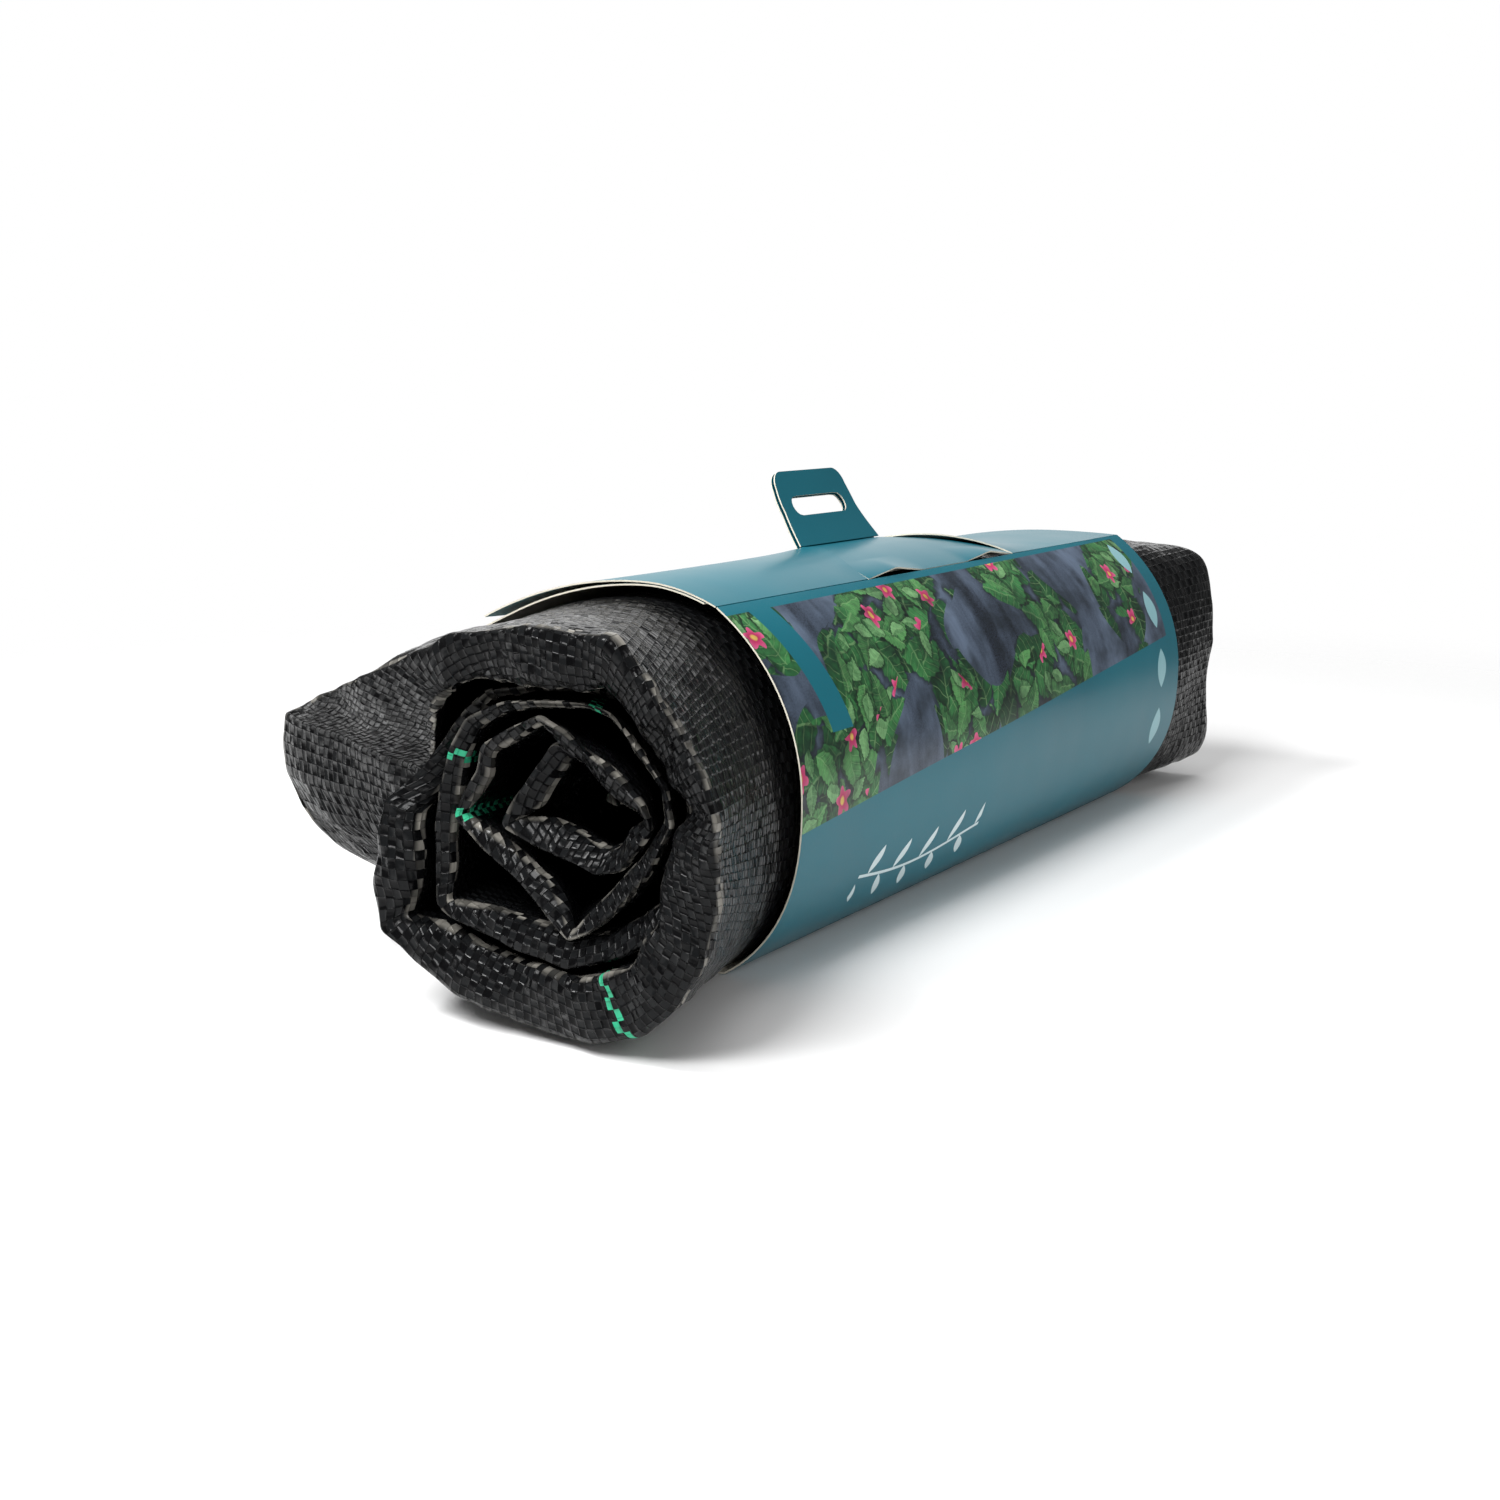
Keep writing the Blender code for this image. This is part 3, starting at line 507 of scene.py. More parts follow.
set_inputs(shader, Base_Color=dyed, Roughness=gloss, Normal=tape_bump, IOR=1.21)

cloth_mesh.materials.append(cloth)
rolled_fabric = bpy.data.objects.new("rolled_fabric", cloth_mesh)
bpy.context.scene.collection.objects.link(rolled_fabric)
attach(rolled_fabric, "fabric")
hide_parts("fabric_roll")

# Sleeve wrap: front panel, underside, back and inner flap of one die-cut card blank, folded at
# creases and glued shut at the back. Offset-printed coated board 0.5 mm thick, bare inside.
CARD = 0.5 * MM
SHARP_EDGE = math.radians(50)
PANEL_ROWS = 90
PANEL_LENGTH = 300.0
INNER_FLAP_SHORT = 4 * MM
INNER_FLAP_DIP = 1.1 * MM
DIP_RUN = 28 * MM
DIP_FROM_X = 20 * MM
DIP_BEHIND = 60 * MM
WALL_WAVER = 0.35 * MM
WALL_FOOT = 6 * MM
TONGUE_RISE = 1.2 * MM
TAB_X = -1 * MM
TAB_Y = -6 * MM
TAB_BASE_WIDTH = 56 * MM
TAB_TOP_WIDTH = 43 * MM
TAB_HEIGHT = 29 * MM
TAB_CREEP = 1.2 * MM
PLY_SETBACK = 0.9 * MM
CUT_GAP = 0.4 * MM
CUT_ROUNDING = 0.1 * MM
# The window that the hang tab's back ply leaves: its rear end, and its narrowing as a share of
# the tab's own, which leaves the ply room to fold flat
WINDOW_REAR = TAB_X - PLY_SETBACK - TAB_HEIGHT - TONGUE_RISE - LAYER - 1.5 * MM
WINDOW_TAPER_SHARE = 0.88
COLUMN_STEP = 5 * MM
NEAR_COLUMNS = round((SLEEVE_HALF_LENGTH + TAB_Y) / COLUMN_STEP)
FAR_COLUMNS = round((SLEEVE_HALF_LENGTH - TAB_Y) / COLUMN_STEP)
WINDOW_COLUMNS = 24
WINDOW_CELLS = slice(NEAR_COLUMNS - 1, NEAR_COLUMNS + WINDOW_COLUMNS - 2)
# The print, in millimetres from the panel's near end and from its crease: how high the picture's
# lower edge ends at both ends of the panel, the sprig and the row of pale leaves
PICTURE_NEAR_Z = 45 * MM
PICTURE_FAR_Z = 70 * MM
PICTURE_END = 289.0
SPRIG_MIDDLE = 96.0
SPRIG_FROM = 48.0
SPRIG_STEP = 9.0
MARKS_AT = 281.0
MARK_SPACING = 12.0


def tab_half_width(rise):
    """Half the hang tab's width, which flares out in a soft S towards its crease."""
    share = np.clip(np.asarray(rise, float) / TAB_HEIGHT, 0, 1)
    flare = 0.9 * MM * np.minimum(np.sin(share * 2 * math.pi), 0.1)
    return (TAB_BASE_WIDTH + (TAB_TOP_WIDTH - TAB_BASE_WIDTH) * share) / 2 - flare


def tab_lean_aside(rise):
    """How far the hang tab has crept towards the roll's near end, at a height above its crease."""
    return -TAB_CREEP * np.clip(np.asarray(rise, float) / TAB_HEIGHT, 0, 1)


def columns_round_window(half_widths, creeps):
    """Each row's places along the roll, kept on both sides of its half of the window."""
    made = []
    for half, creep in zip(half_widths, creeps):
        low, high = TAB_Y + creep - half, TAB_Y + creep + half
        near = np.linspace(-SLEEVE_HALF_LENGTH, low, NEAR_COLUMNS)
        far = np.linspace(high, SLEEVE_HALF_LENGTH, FAR_COLUMNS)
        made.append(np.concatenate([near, np.linspace(low, high, WINDOW_COLUMNS)[1:-1], far]))
    return np.array(made)


def laid_rows(x, y, z):
    """Points of a sheet whose rows each keep their x and z, and have their own places along y."""
    return np.stack([x[:, None] + 0 * y, y, z[:, None] + 0 * y], 2)


def printed_places(run, y):
    """The print's flat places on such a sheet, in millimetres along the panel and down it."""
    return np.stack([(y + SLEEVE_HALF_LENGTH) / MM, (run / MM)[:, None] + 0 * y], 2)


def card_piece(name, points, faces, marks, coords, finishes):
    """A piece of card, with the print's flat places at its corners and a finish on each face."""
    mesh = bpy.data.meshes.new(name)
    mesh.from_pydata(points.tolist(), [], faces)
    corners = np.zeros(len(mesh.loops), np.int32)
    mesh.loops.foreach_get("vertex_index", corners)
    print_map = mesh.uv_layers.new(name="print")
    print_map.data.foreach_set("uv", coords[corners].astype(np.float32).ravel())
    mesh.polygons.foreach_set("material_index", marks)
    mesh.shade_smooth()
    mesh.set_sharp_from_angle(angle=SHARP_EDGE)
    for finish in finishes:
        mesh.materials.append(finish)
    made = bpy.data.objects.new(name, mesh)
    bpy.context.scene.collection.objects.link(made)
    return made


def card_sheet(name, face, cut, finishes, flat_coords, creased):
    """A sheet of card over a grid of points, rows across the roll and columns along it. cut is a
    mask of the cells that the die removes, and the edge of the creased row is a fold, which shows
    the print and not the board's pulp."""
    row_count, column_count = face.shape[:2]
    normals = np.cross(np.gradient(face, axis=0), np.gradient(face, axis=1))
    normals = normals / np.linalg.norm(normals, axis=2)[:, :, None]
    points = np.concatenate([face.reshape(-1, 3), (face - normals * CARD).reshape(-1, 3)])
    under = row_count * column_count
    faces, marks, edges = [], [], {}
    for row, column in zip(*np.nonzero(~cut)):
        first = int(row * column_count + column)
        quad = (first, first + column_count, first + column_count + 1, first + 1)
        faces += [quad, tuple(index + under for index in quad[::-1])]
        marks += [0, 1]
        for start, end in zip(quad, quad[1:] + quad[:1]):
            if edges.pop((end, start), None) is None:
                edges[(start, end)] = True
    for start, end in edges:
        faces.append((end, start, start + under, end + under))
        marks.append(0 if start // column_count == end // column_count == creased else 2)
    used = np.unique(np.concatenate([np.array(quad) for quad in faces]))
    place = np.full(len(points), -1)
    place[used] = np.arange(len(used))
    faces = [[int(place[index]) for index in quad] for quad in faces]
    coords = np.concatenate([flat_coords.reshape(-1, 2)] * 2)[used]
    return card_piece(name, points[used], faces, marks, coords, finishes)


def scatter(add, uv, spacing, seed, size, clump, share):
    """One place per cell, each turned its own way: x and y from its middle in shares of a size,
    whether something grows there, and a chance."""
    shift = (seed * 17.3, seed * 9.1, 0)
    moved = add("Mapping", Vector=uv, Location=shift, Scale=(1 / spacing,) * 3)
    cells = add("TexVoronoi", voronoi_dimensions="2D", Vector=moved, Scale=1.0, Randomness=0.8)
    offset = add("VectorMath SUBTRACT", moved, cells.outputs["Position"])
    chances = add("SeparateColor", Color=cells.outputs["Color"]).outputs
    turn = add("MULTIPLY", chances[0], 2 * math.pi)
    turned = add("VectorRotate", rotation_type="Z_AXIS", Vector=offset, Angle=turn)
    sized = add("VectorMath MULTIPLY", turned, (spacing / size, spacing / size, 0))
    part = add("SeparateXYZ", Vector=sized)
    grows = add("LESS_THAN", add("ADD", chances[1], clump), share)
    return part.outputs[0], part.outputs[1], grows, chances[2]


def leaves(add, uv, spacing, seed, length, dim, lit, under, clump, share):
    """Toothed leaves in clumps: a lit and a dim half, side veins and a soft shadow underneath."""
    x, y, grows, chance = scatter(add, uv, spacing, seed, length / 2, clump, share)
    aside = add("MULTIPLY", add("ABSOLUTE", y), 1.7)
    outline = add("MULTIPLY_ADD", add("MULTIPLY", x, x), -1.0, 1.0)
    outline = add("MULTIPLY", outline, add("MULTIPLY_ADD", x, -0.4, 0.95))
    teeth = add("PINGPONG", add("MULTIPLY_ADD", aside, -1.0, add("MULTIPLY", x, 4.0)), 0.5)
    inside = add("SUBTRACT", add("MULTIPLY_ADD", teeth, 0.22, outline), aside)
    shadow = add("MapRange", Value=inside, From_Min=-0.35, From_Max=0.1, To_Max=0.75)
    shadow = add("MULTIPLY", shadow, grows)
    mask = add("MULTIPLY", add("MapRange", Value=inside, From_Min=0.08, From_Max=0.16), grows)
    half = add("MULTIPLY", add("GREATER_THAN", y, 0.0), 0.3)
    light = add("MULTIPLY_ADD", teeth, 0.5, add("MULTIPLY_ADD", chance, 0.45, half))
    mottled = add("TexNoise", Vector=uv, Scale=0.5, Detail=3.0)
    light = add("ADD", light, add("MapRange", mottled, 0.3, 0.7, -0.25, 0.25))
    green = add("ValToRGB", light, stops=((0.0, dim), (1.0, lit)))
    rib = add("MULTIPLY", add("LESS_THAN", add("MINIMUM", aside, teeth), 0.045), 0.35)
    green = add("Mix RGBA", rib, green, "#8DB57C")
    shaded = add("Mix RGBA", shadow, under, "#0B1512")
    return add("Mix RGBA", mask, shaded, green)


def blossoms(add, uv, spacing, seed, width, under, clump, share):
    """Five-petalled pink blossoms with a yellow eye."""
    x, y, grows, _ = scatter(add, uv, spacing, seed, width / 2, clump, share)
    reach = add("SQRT", add("ADD", add("MULTIPLY", x, x), add("MULTIPLY", y, y)))
    petals = add("COSINE", add("MULTIPLY", add("ARCTAN2", y, x), 5.0))
    inside = add("SUBTRACT", add("MULTIPLY_ADD", petals, 0.2, 0.8), reach)
    mask = add("MULTIPLY", add("GREATER_THAN", inside, 0.0), grows)
    stops = ((0.2, "#D9B45C"), (0.34, "#B92C5E"), (0.9, "#D95C8C"))
    pink = add("ValToRGB", reach, stops=stops)
    return add("Mix RGBA", mask, under, pink)


def picture(add, uv, plain):
    """The printed picture: clumps of foliage on slate grey cloth, cut off by a slanting line of
    plain ink, with a pale sprig under it and small pale leaves down the far edge."""
    part = add("SeparateXYZ", Vector=uv)
    along, down = part.outputs[0], part.outputs[1]
    shake = add("TexNoise", Vector=uv, Scale=0.11, Detail=2.0).outputs["Color"]
    shaken = add("VectorMath MULTIPLY_ADD", shake, (5.0, 5.0, 0.0), uv)
    laid = add("Mapping", Vector=shaken, Rotation=(0, 0, 0.5), Scale=(0.045, 0.011, 1))
    folds = add("TexNoise", Vector=laid, Scale=1.0, Detail=4.0, Roughness=0.6)
    slate = add("ValToRGB", folds, stops=((0.36, "#0B101B"), (0.68, "#66758A")))
    grain = add("TexNoise", Vector=uv, Scale=1.6, Detail=1.0)
    grain = add("MapRange", Value=grain, From_Min=0.35, From_Max=0.65, To_Max=0.22)
    colour = add("Mix RGBA", grain, slate, "#64748A")
    clump = add("Mapping", Vector=uv, Location=(31, 7, 0))
    clump = add("TexNoise", Vector=clump, Scale=0.021, Detail=0.0)
    clump = add("MapRange", clump, 0.38, 0.6, -0.6, 0.9)
    # Leaves from the lowest up: their spacing, pattern and length, dim and lit greens, and share
    for spacing, seed, length, dim, lit, share in (
        (20.0, 1, 30.0, "#0C2416", "#2A6238", 0.9), (17.0, 2, 25.0, "#12371F", "#3F8249", 0.75),
        (15.0, 5, 17.0, "#1D4A2B", "#5C9A5A", 0.5), (11.0, 3, 10.0, "#2A5A33", "#7DB077", 0.15),
    ):
        colour = leaves(add, shaken, spacing, seed, length, dim, lit, colour, clump, share)
    colour = blossoms(add, shaken, 22.0, 4, 9.0, colour, clump, 0.42)
    shade = add("TexNoise", Vector=uv, Scale=0.06, Detail=3.0, Roughness=0.6)
    shade = add("MapRange", Value=shade, From_Min=0.45, From_Max=0.66, To_Max=0.62)
    colour = add("Mix RGBA", shade, colour, "#0B1418")
    # A slanting bar of plain ink, and the picture's lower, upper and far edges
    bar = add("COMPARE", add("MULTIPLY_ADD", down, -0.22, along), 17.0, 6.0)
    bar = add("MULTIPLY", bar, add("LESS_THAN", down, 46.0))
    colour = add("Mix RGBA", bar, colour, plain)
    shown = add("LESS_THAN", down, add("MULTIPLY_ADD", along, PICTURE_SLOPE, PICTURE_DROP))
    under_strip = add("GREATER_THAN", down, add("MULTIPLY_ADD", along, -0.008, 4.0))
    shown = add("MULTIPLY", shown, under_strip)
    shown = add("MULTIPLY", shown, add("LESS_THAN", along, PICTURE_END))
    colour = add("Mix RGBA", shown, plain, colour)
    # Pale sprig: a bowed stem with a leaf to each side in turn
    reach = add("SUBTRACT", along, SPRIG_FROM)
    bow = add("SINE", add("MULTIPLY", reach, 0.05))
    aside = add("MULTIPLY_ADD", bow, -3.0, add("SUBTRACT", down, SPRIG_MIDDLE))
    step = add("DIVIDE", reach, SPRIG_STEP)
    number = add("FLOOR", step)
    side = add("MULTIPLY_ADD", add("PINGPONG", number, 1.0), 2.0, -1.0)
    leaf_y = add("MULTIPLY_ADD", aside, side, -5.4)
    leaf_x = add("SUBTRACT", add("SUBTRACT", step, number), 0.5)
    leaf_x = add("MULTIPLY_ADD", leaf_x, SPRIG_STEP, add("MULTIPLY", leaf_y, -0.6))
    sprig = add("MULTIPLY_ADD", add("MULTIPLY", leaf_y, leaf_y), -0.09, 2.2)
    sprig = add("GREATER_THAN", sprig, add("ABSOLUTE", leaf_x))
    sprig = add("MAXIMUM", sprig, add("LESS_THAN", add("ABSOLUTE", aside), 0.6))
    sprig = add("MULTIPLY", sprig, add("COMPARE", reach, 36.0, 40.5))
    colour = add("Mix RGBA", sprig, colour, "#D3E2E4")
    # Pale leaves down the far edge
    place = add("SUBTRACT", add("PINGPONG", down, MARK_SPACING), MARK_SPACING)
    mark = add("MULTIPLY_ADD", add("MULTIPLY", place, place), -0.075, 4.6)
    mark = add("GREATER_THAN", mark, add("ABSOLUTE", add("SUBTRACT", along, MARKS_AT)))
    mark = add("MULTIPLY", mark, add("COMPARE", down, 4 * MARK_SPACING, 4 * MARK_SPACING))
    return add("Mix RGBA", mark, colour, "#8DBBC2")


# Coated board, offset printed: teal ink that is a little uneven, under a thin varnish that mirrors
# the pale room softly at a low angle and shows the board's faint waves and fibres.
def printed_board(name, with_picture):
    made, shader, add = new_material(name)
    place = add("TexCoord").outputs["Object"]
    fibres = add("TexNoise", Vector=place, Scale=900.0, Detail=2.0, Roughness=0.5)
    cloudy = add("TexNoise", Vector=place, Scale=14.0, Detail=2.0, Roughness=0.5)
    ink = add("ValToRGB", cloudy, stops=((0.3, "#11606F"), (0.7, "#176978")))
    colour = picture(add, add("UVMap", uv_map="print"), ink) if with_picture else ink
    rubbed = add("MapRange", cloudy, 0.3, 0.7, 0.3, 0.38)
    peel = add("Bump", Height=fibres, Strength=0.12, Distance=0.1 * MM)
    waves = add("Bump", Height=cloudy, Strength=0.35, Distance=3 * MM, Normal=peel)
    set_inputs(shader, Base_Color=colour, Roughness=rubbed, Normal=waves, IOR=1.3)
    set_inputs(shader, Coat_Weight=0.05, Coat_Roughness=0.12)
    return made


# The board's other side is uncoated, grey-white and matt, with its felt of fibres. Its die-cut
# edge shows the cream pulp between the two skins.
def bare_board(name, low, high, fibre_scale, **noise_inputs):
    made, shader, add = new_material(name)
    place = add("TexCoord").outputs["Object"]
    felt = add("TexNoise", Vector=place, Scale=fibre_scale, **noise_inputs)
    shade = add("ValToRGB", felt, stops=((0.0, low), (1.0, high)))
    set_inputs(shader, Base_Color=shade)
    return made, shader, add, felt


# The wrap's profile: the closed loop, then the arched inner flap back to the front
inner_x = np.linspace(FLAP_REAR[0], CREASE[0] - INNER_FLAP_SHORT, 86)
inner_x = np.sort(np.append(inner_x, [WINDOW_REAR, TAB_X - PLY_SETBACK]))
profile = np.concatenate([loop, np.stack(arch_point(inner_x, LAYER), 1)])
run = run_along(profile)
panel_heights = (-profile[:PANEL_ROWS, 1], run[:PANEL_ROWS] / MM)
PICTURE_DROP = float(np.interp(-PICTURE_NEAR_Z, *panel_heights))
PICTURE_SLOPE = (float(np.interp(-PICTURE_FAR_Z, *panel_heights)) - PICTURE_DROP) / PANEL_LENGTH

on_top = np.arange(len(profile)) >= len(loop)
rise = TAB_X - profile[:, 0]
hole = tab_half_width(WINDOW_TAPER_SHARE * rise) + 2 * CUT_GAP
hole = np.where(on_top, hole, TAB_BASE_WIDTH / 2 + CUT_GAP)
wrap_y = columns_round_window(hole, np.where(on_top, tab_lean_aside(rise), 0))
face = laid_rows(profile[:, 0], wrap_y, profile[:, 1])
# The inner flap's near end dips towards the roll at the rear, and its crest sags
over_roll = np.clip((np.arange(len(profile)) - len(loop) + 20) / 30, 0, 1)[:, None]
near_end = np.exp(-(wrap_y + SLEEVE_HALF_LENGTH) / DIP_RUN)
rear_side = np.clip((DIP_FROM_X - profile[:, 0]) / DIP_BEHIND, 0, 1)[:, None]
face[:, :, 2] -= INNER_FLAP_DIP * over_roll * near_end * rear_side
face[:, :, 2] -= sag(face[:, :, 0], face[:, :, 1]) * on_top[:, None]
# The walls waver a little along the roll, but not where they meet the floor
along_wall = wrap_y / (PANEL_LENGTH * MM)
waver = np.sin(along_wall * 6.1 + 1.0) * 0.6 + np.sin(along_wall * 13.7 + 2.3) * 0.4
sides = np.clip(np.abs(profile[:, 0]) / SLEEVE_HALF_WIDTH, 0, 1)[:, None]
off_floor = np.sign(profile[:, :1]) * (profile[:, 1:] > WALL_FOOT)
face[:, :, 0] += WALL_WAVER * waver * sides * off_floor
in_window = profile[:-1, 0] > WINDOW_REAR - CUT_ROUNDING
in_window &= profile[1:, 0] < TAB_X - PLY_SETBACK + CUT_ROUNDING
cut = np.zeros((len(profile) - 1, wrap_y.shape[1] - 1), bool)
cut[in_window & on_top[:-1], WINDOW_CELLS] = True
inside_board, shader, add, felt = bare_board(
    "uncoated_board", "#B9B4A6", "#D5D1C6", 1500.0, Detail=4.0, Roughness=0.7)
felt_bump = add("Bump", Height=felt, Strength=0.3, Distance=0.1 * MM)
set_inputs(shader, Normal=felt_bump, Roughness=0.85)
edge_board, shader, _, _ = bare_board(
    "die_cut_board_edge", "#CFC8B4", "#EFEBDD", 700.0, Detail=2.0)
set_inputs(shader, Roughness=0.8)
finishes = (printed_board("offset_printed_board", True), inside_board, edge_board)
wrap = card_sheet("card_wrap", face, cut, finishes, printed_places(run, wrap_y), 0)
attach(wrap, "sleeve")
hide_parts("sleeve_wrap")

# Outer flap: the blank's last panel, folded over the top from the front crease and laid on the
# inner flap. The die cuts the tongue and the hang tab out of it. Its rear near corner springs up.
TONGUE_WIDTH = 109 * MM
FOLD_GAP = 0.4 * MM
NEAR_CORNER_LIFT = 1.6 * MM
NEAR_CORNER_RUN = 30 * MM
FAR_CORNER_LIFT = 0.9 * MM
FAR_CORNER_RUN = 40 * MM
TAB_PULL_RUN = 18 * MM
CUT_LIFT_RUN = 15 * MM
FAR_CUT_LIFT = 1.9 * MM
NEAR_CUT_LIFT = 0.35 * MM
NEAR_CUT_RUN = 6 * MM


def tongue_half_width(x):
    """Half the tongue's width, from its long cut ends at the crease to the hang tab."""
    share = np.clip((CREASE[0] - np.asarray(x, float)) / (CREASE[0] - TAB_X), 0, 1)
    return (TONGUE_WIDTH + (TAB_BASE_WIDTH - TONGUE_WIDTH) * ease(share)) / 2


flap_x = np.linspace(FLAP_REAR[0], CREASE[0] - FOLD_GAP, 90)
flap_x = np.sort(np.append(flap_x, [WINDOW_REAR, TAB_X]))
rise = TAB_X - flap_x
hole = np.where(flap_x > TAB_X, tongue_half_width(flap_x), tab_half_width(rise)) + CUT_GAP
flap_y = columns_round_window(hole, tab_lean_aside(rise))
face = laid_rows(flap_x, flap_y, arch_point(flap_x, 0)[1])
# Both rear corners spring up, the near one more
rear = np.clip((CREST[0] - flap_x) / (CREST[0] - FLAP_REAR[0]), 0, 1)[:, None]
near_end = np.exp(-(flap_y + SLEEVE_HALF_LENGTH) / NEAR_CORNER_RUN)
far_end = np.exp(-(SLEEVE_HALF_LENGTH - flap_y) / FAR_CORNER_RUN)
face[:, :, 2] += NEAR_CORNER_LIFT * rear**1.5 * near_end
face[:, :, 2] += FAR_CORNER_LIFT * rear**2 * far_end
# The hang tab pulls the cut edges beside the tongue up with it
beside = np.exp(-(np.abs(flap_y - TAB_Y) - hole[:, None]) / CUT_LIFT_RUN)
back = np.clip((CREASE[0] - flap_x) / (CREASE[0] - TAB_X), 0, 1)[:, None]
behind = np.clip(1 - rise / TAB_PULL_RUN, 0, 1)[:, None]
face[:, :, 2] += TONGUE_RISE * back**2 * behind * beside
face[:, :, 2] += FAR_CUT_LIFT * np.sin(math.pi * back) * beside * (flap_y > TAB_Y)
near_cut = np.exp(-(TAB_Y - flap_y - hole[:, None]) / NEAR_CUT_RUN) * (flap_y < TAB_Y)
at_tongue = np.clip(4 * back, 0, 1) * (flap_x > TAB_X)[:, None]
face[:, :, 2] += NEAR_CUT_LIFT * at_tongue * near_cut
face[:, :, 2] -= sag(face[:, :, 0], face[:, :, 1])
cut = np.zeros((len(flap_x) - 1, flap_y.shape[1] - 1), bool)
cut[flap_x[:-1] > WINDOW_REAR - CUT_ROUNDING, WINDOW_CELLS] = True
plain_board = printed_board("offset_printed_board_plain", False)
finishes = (plain_board, inside_board, edge_board)
flat_coords = printed_places(flap_x, flap_y)
flap = card_sheet("card_outer_flap", face, cut, finishes, flat_coords, len(flap_x) - 1)
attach(flap, "outer_flap")
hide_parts("outer_flap")

# Tongue: cut out of the outer flap and still creased to the front panel at its waist. The hang
# tab pulls it up, and the corners beside the waist spring open as two lips.
TONGUE_ROWS = 60
TONGUE_COLUMNS = 49
TONGUE_WAIST = 33 * MM
LIP_RUN = 12 * MM
LIP_LIFT = 2.4 * MM
TAB_END_LIFT = 0.15 * MM

tongue_x = np.linspace(TAB_X, CREASE[0] - FOLD_GAP, TONGUE_ROWS)
back = (CREASE[0] - tongue_x) / (CREASE[0] - TAB_X)
half = tongue_half_width(tongue_x)[:, None]
share = np.linspace(-1, 1, TONGUE_COLUMNS)[None, :]
tongue_y = TAB_Y + half * share
top_x, top_z = arch_point(tongue_x, -TONGUE_RISE * back**2)
face = laid_rows(top_x, tongue_y, top_z)
near_crease = np.clip(1 - (CREASE[0] - tongue_x) / LIP_RUN, 0, 1)[:, None]
past_waist = np.abs(tongue_y - TAB_Y) - TONGUE_WAIST / 2
off_waist = np.clip(past_waist / (half - TONGUE_WAIST / 2 + 1e-6), 0, 1)
lip = 1 - np.abs(2 * off_waist - 1)
face[:, :, 2] += LIP_LIFT * lip * near_crease
tab_end = np.clip((back - 0.75) / 0.25, 0, 1)[:, None]
face[:, :, 2] += TAB_END_LIFT * tab_end * np.abs(share) ** 3
face[:, :, 2] -= sag(face[:, :, 0], face[:, :, 1])
cut = np.zeros((TONGUE_ROWS - 1, TONGUE_COLUMNS - 1), bool)
flat_coords = printed_places(tongue_x, tongue_y)
tongue = card_sheet("card_tongue", face, cut, finishes, flat_coords, 0)
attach(tongue, "tongue")
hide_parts("tongue")

# Hang tab: two plies of the blank folded up together, the front one on the tongue and the back
# one on the inner flap. A pill-shaped slot is punched through both for the shop's hook.
SLOT_LENGTH = 36 * MM
SLOT_HEIGHT = 7.5 * MM
SLOT_RISE = 16 * MM
CORNER = 6 * MM
TAB_LEAN = math.radians(30)
TAB_BOW = 1.1 * MM
FOOT_GAP = FOLD_GAP + 0.15 * MM
FOOT_POINTS = 24
SIDE_POINTS = 14
PLY_RINGS = 9


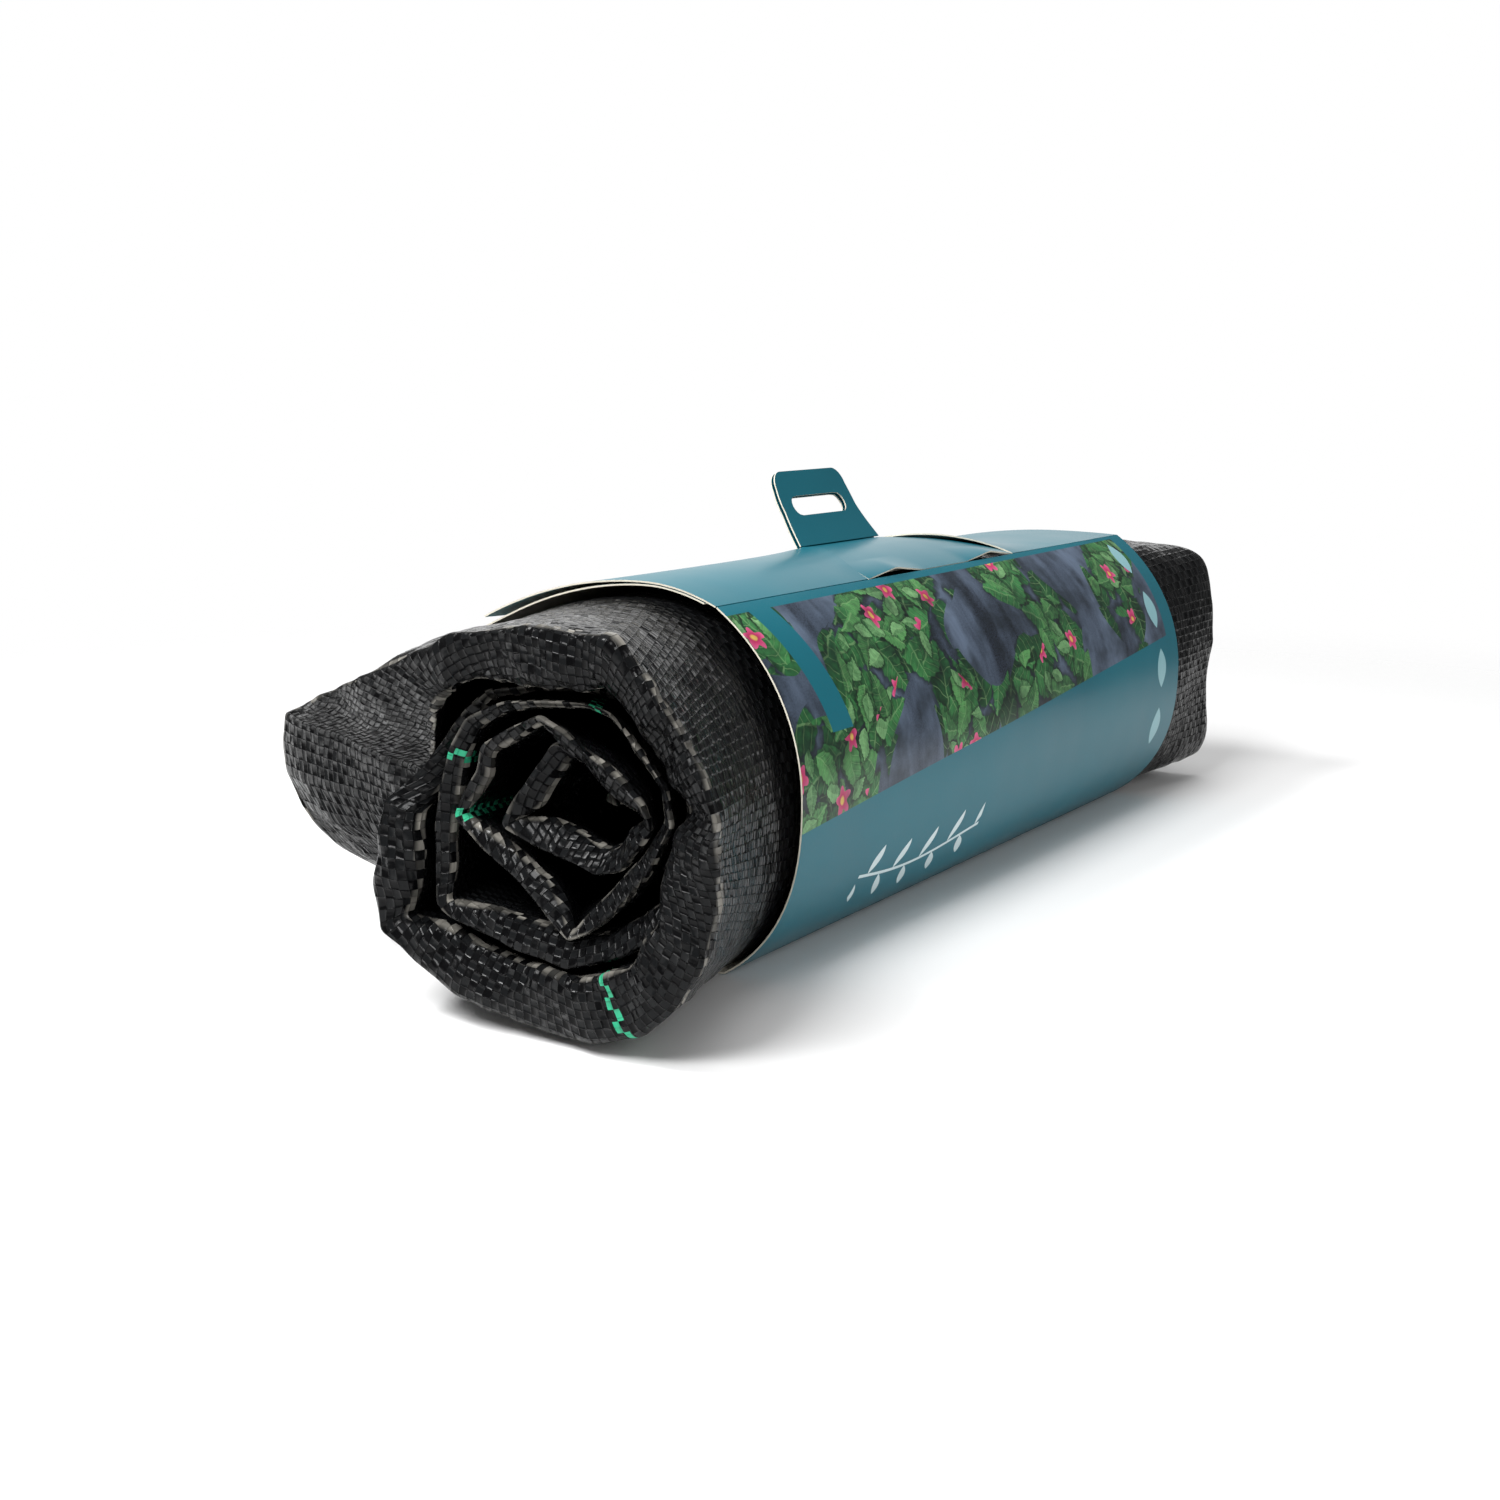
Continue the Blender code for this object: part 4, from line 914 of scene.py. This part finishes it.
def make_ply(name, base, height, slot_rise):
    """One ply: its two faces are bridged from the outline to the slot, then given their edges."""
    up = np.array([-math.sin(TAB_LEAN), 0, math.cos(TAB_LEAN)])
    back = np.array([-math.cos(TAB_LEAN), 0, -math.sin(TAB_LEAN)])
    # From the crease up one side and over its rounded corner, then down the other and back
    rises = np.linspace(FOOT_GAP, height - CORNER, SIDE_POINTS)
    halves = tab_half_width(rises * TAB_HEIGHT / height)
    turns = math.pi / 2 * np.arange(1, SIDE_POINTS + 1) / SIDE_POINTS
    rises = np.concatenate([rises, height - CORNER * (1 - np.sin(turns))])
    halves = np.concatenate([halves, halves[-1] - CORNER * (1 - np.cos(turns))])
    side = np.stack([rises, halves], 1)
    foot_y = np.linspace(-halves[0], halves[0], FOOT_POINTS + 2)[1:-1]
    foot = np.stack([0 * foot_y + rises[0], foot_y], 1)
    outline = np.concatenate([side, side[::-1] * (1, -1), foot])
    # Each point of the outline has one on the slot, in the same direction from its middle
    radius = SLOT_HEIGHT / 2
    straight = SLOT_LENGTH / 2 - radius
    slot = []
    for angle in np.arctan2(outline[:, 0] - slot_rise, outline[:, 1]):
        cosine, sine = math.cos(angle), math.sin(angle)
        reach = radius / abs(sine) if abs(sine) > 1e-6 else 1.0
        if abs(reach * cosine) > straight:
            along = abs(straight * cosine)
            reach = along + math.sqrt(max(along**2 - straight**2 + radius**2, 0))
        slot.append((slot_rise + reach * sine, reach * cosine))
    shares = np.linspace(0, 1, PLY_RINGS)
    flat = np.concatenate([outline + (np.array(slot) - outline) * share for share in shares])
    bow = TAB_BOW * np.sin(np.clip(flat[:, 0] / height, 0, 1) * math.pi)
    front = np.array(base) + np.outer(flat[:, 0], up) + np.outer(bow, back)
    front[:, 1] += TAB_Y + flat[:, 1] + tab_lean_aside(flat[:, 0] * TAB_HEIGHT / height)
    points = np.concatenate([front, front + back * CARD])
    count, layer = len(outline), len(front)
    faces, marks = [], []
    for here in range(layer - count):
        after = here + 1 if (here + 1) % count else here + 1 - count
        quad = (here, after, after + count, here + count)
        faces += [quad, tuple(corner + layer for corner in quad[::-1])]
        marks += [0, 0]
    for first, turned in ((0, 1), (layer - count, -1)):
        for index in range(count):
            here, after = first + index, first + (index + 1) % count
            faces.append((after, here, here + layer, after + layer)[::turned])
            marks.append(0 if first == 0 and index >= count - FOOT_POINTS - 1 else 1)
    coords = np.concatenate([flat, flat])[:, ::-1] / MM + (SLEEVE_HALF_LENGTH / MM, 0)
    made = card_piece(name, points, faces, marks, coords, (plain_board, edge_board))
    return made


front_x, front_z = arch_point(TAB_X, -TONGUE_RISE)
back_x, back_z = arch_point(TAB_X - PLY_SETBACK, LAYER)
longer = (front_x - back_x) * -math.sin(TAB_LEAN) + (front_z - back_z) * math.cos(TAB_LEAN)
front_ply = make_ply("tab_front_ply", (front_x, 0, front_z), TAB_HEIGHT, SLOT_RISE)
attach(front_ply, "front_ply")
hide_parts("hang_tab_front_ply")
back_base = (back_x, 0, back_z)
back_ply = make_ply("tab_back_ply", back_base, TAB_HEIGHT + longer, SLOT_RISE + longer)
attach(back_ply, "back_ply")
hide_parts("hang_tab_back_ply")

# Studio: a white floor that fades into a white room, with small soft lamps above the near end
# and the left, and large weaker ones overhead, to the right and behind.
FLOOR_HALF = 3.0
FLOOR_CLEARANCE = 0.4 * MM

floor_mesh = bpy.data.meshes.new("studio_floor")
corners = [(x * FLOOR_HALF, y * FLOOR_HALF, 0) for x, y in ((-1, -1), (1, -1), (1, 1), (-1, 1))]
floor_mesh.from_pydata(corners, [], [(0, 1, 2, 3)])
floor = bpy.data.objects.new("studio_floor", floor_mesh)
floor.location = (0, 0, -FLOOR_CLEARANCE)
bpy.context.scene.collection.objects.link(floor)
floor_paint, shader, add = new_material("matt_white_studio_floor")
set_inputs(shader, Base_Color="#F4F4F4", Roughness=0.9)
reach = add("VectorMath LENGTH", add("TexCoord").outputs["Object"])
faded = add("MapRange", interpolation_type="SMOOTHSTEP", Value=reach, From_Min=0.3, From_Max=0.75)
ends = add("MixShader", faded, shader, add("BsdfTransparent"))
set_inputs(floor_paint.node_tree.nodes["Material Output"], Surface=ends)
floor_mesh.materials.append(floor_paint)

world = bpy.data.worlds.new("white_studio")
bpy.context.scene.world = world
world.use_nodes = True
add = functools.partial(add_node, world.node_tree)
rays = add("LightPath").outputs
seen = add("MAXIMUM", rays["Is Camera Ray"], rays["Is Transmission Ray"])
strength = add("MULTIPLY_ADD", seen, 0.8, 0.2)
set_inputs(world.node_tree.nodes["Background"], Color=(1, 1, 1, 1), Strength=strength)

# Each lamp's place, its side in metres and its power in watts
LAMPS = (
    ("key_softbox", (0.0, -0.95, 1.0), 0.5, 14.0),
    ("left_softbox", (-0.55, -0.6, 1.1), 0.3, 11.0),
    ("top_softbox", (0.1, 0.2, 1.5), 1.0, 8.0),
    ("side_softbox", (1.4, -1.0, 0.8), 0.9, 7.5),
    ("back_softbox", (-1.1, 1.75, 0.6), 1.5, 7.0),
)
LIT_PLACE = Vector((0, 0, 0.05))
for name, spot, size, power in LAMPS:
    lamp_data = bpy.data.lights.new(name, "AREA")
    lamp_data.shape = "SQUARE"
    lamp_data.size = size
    lamp_data.energy = power
    lamp = bpy.data.objects.new(name, lamp_data)
    lamp.location = spot
    lamp.rotation_euler = (LIT_PLACE - Vector(spot)).to_track_quat("-Z", "Y").to_euler()
    lamp.visible_camera = False
    bpy.context.scene.collection.objects.link(lamp)

bpy.context.scene.view_settings.view_transform = "Standard"

bpy.context.view_layer.update()
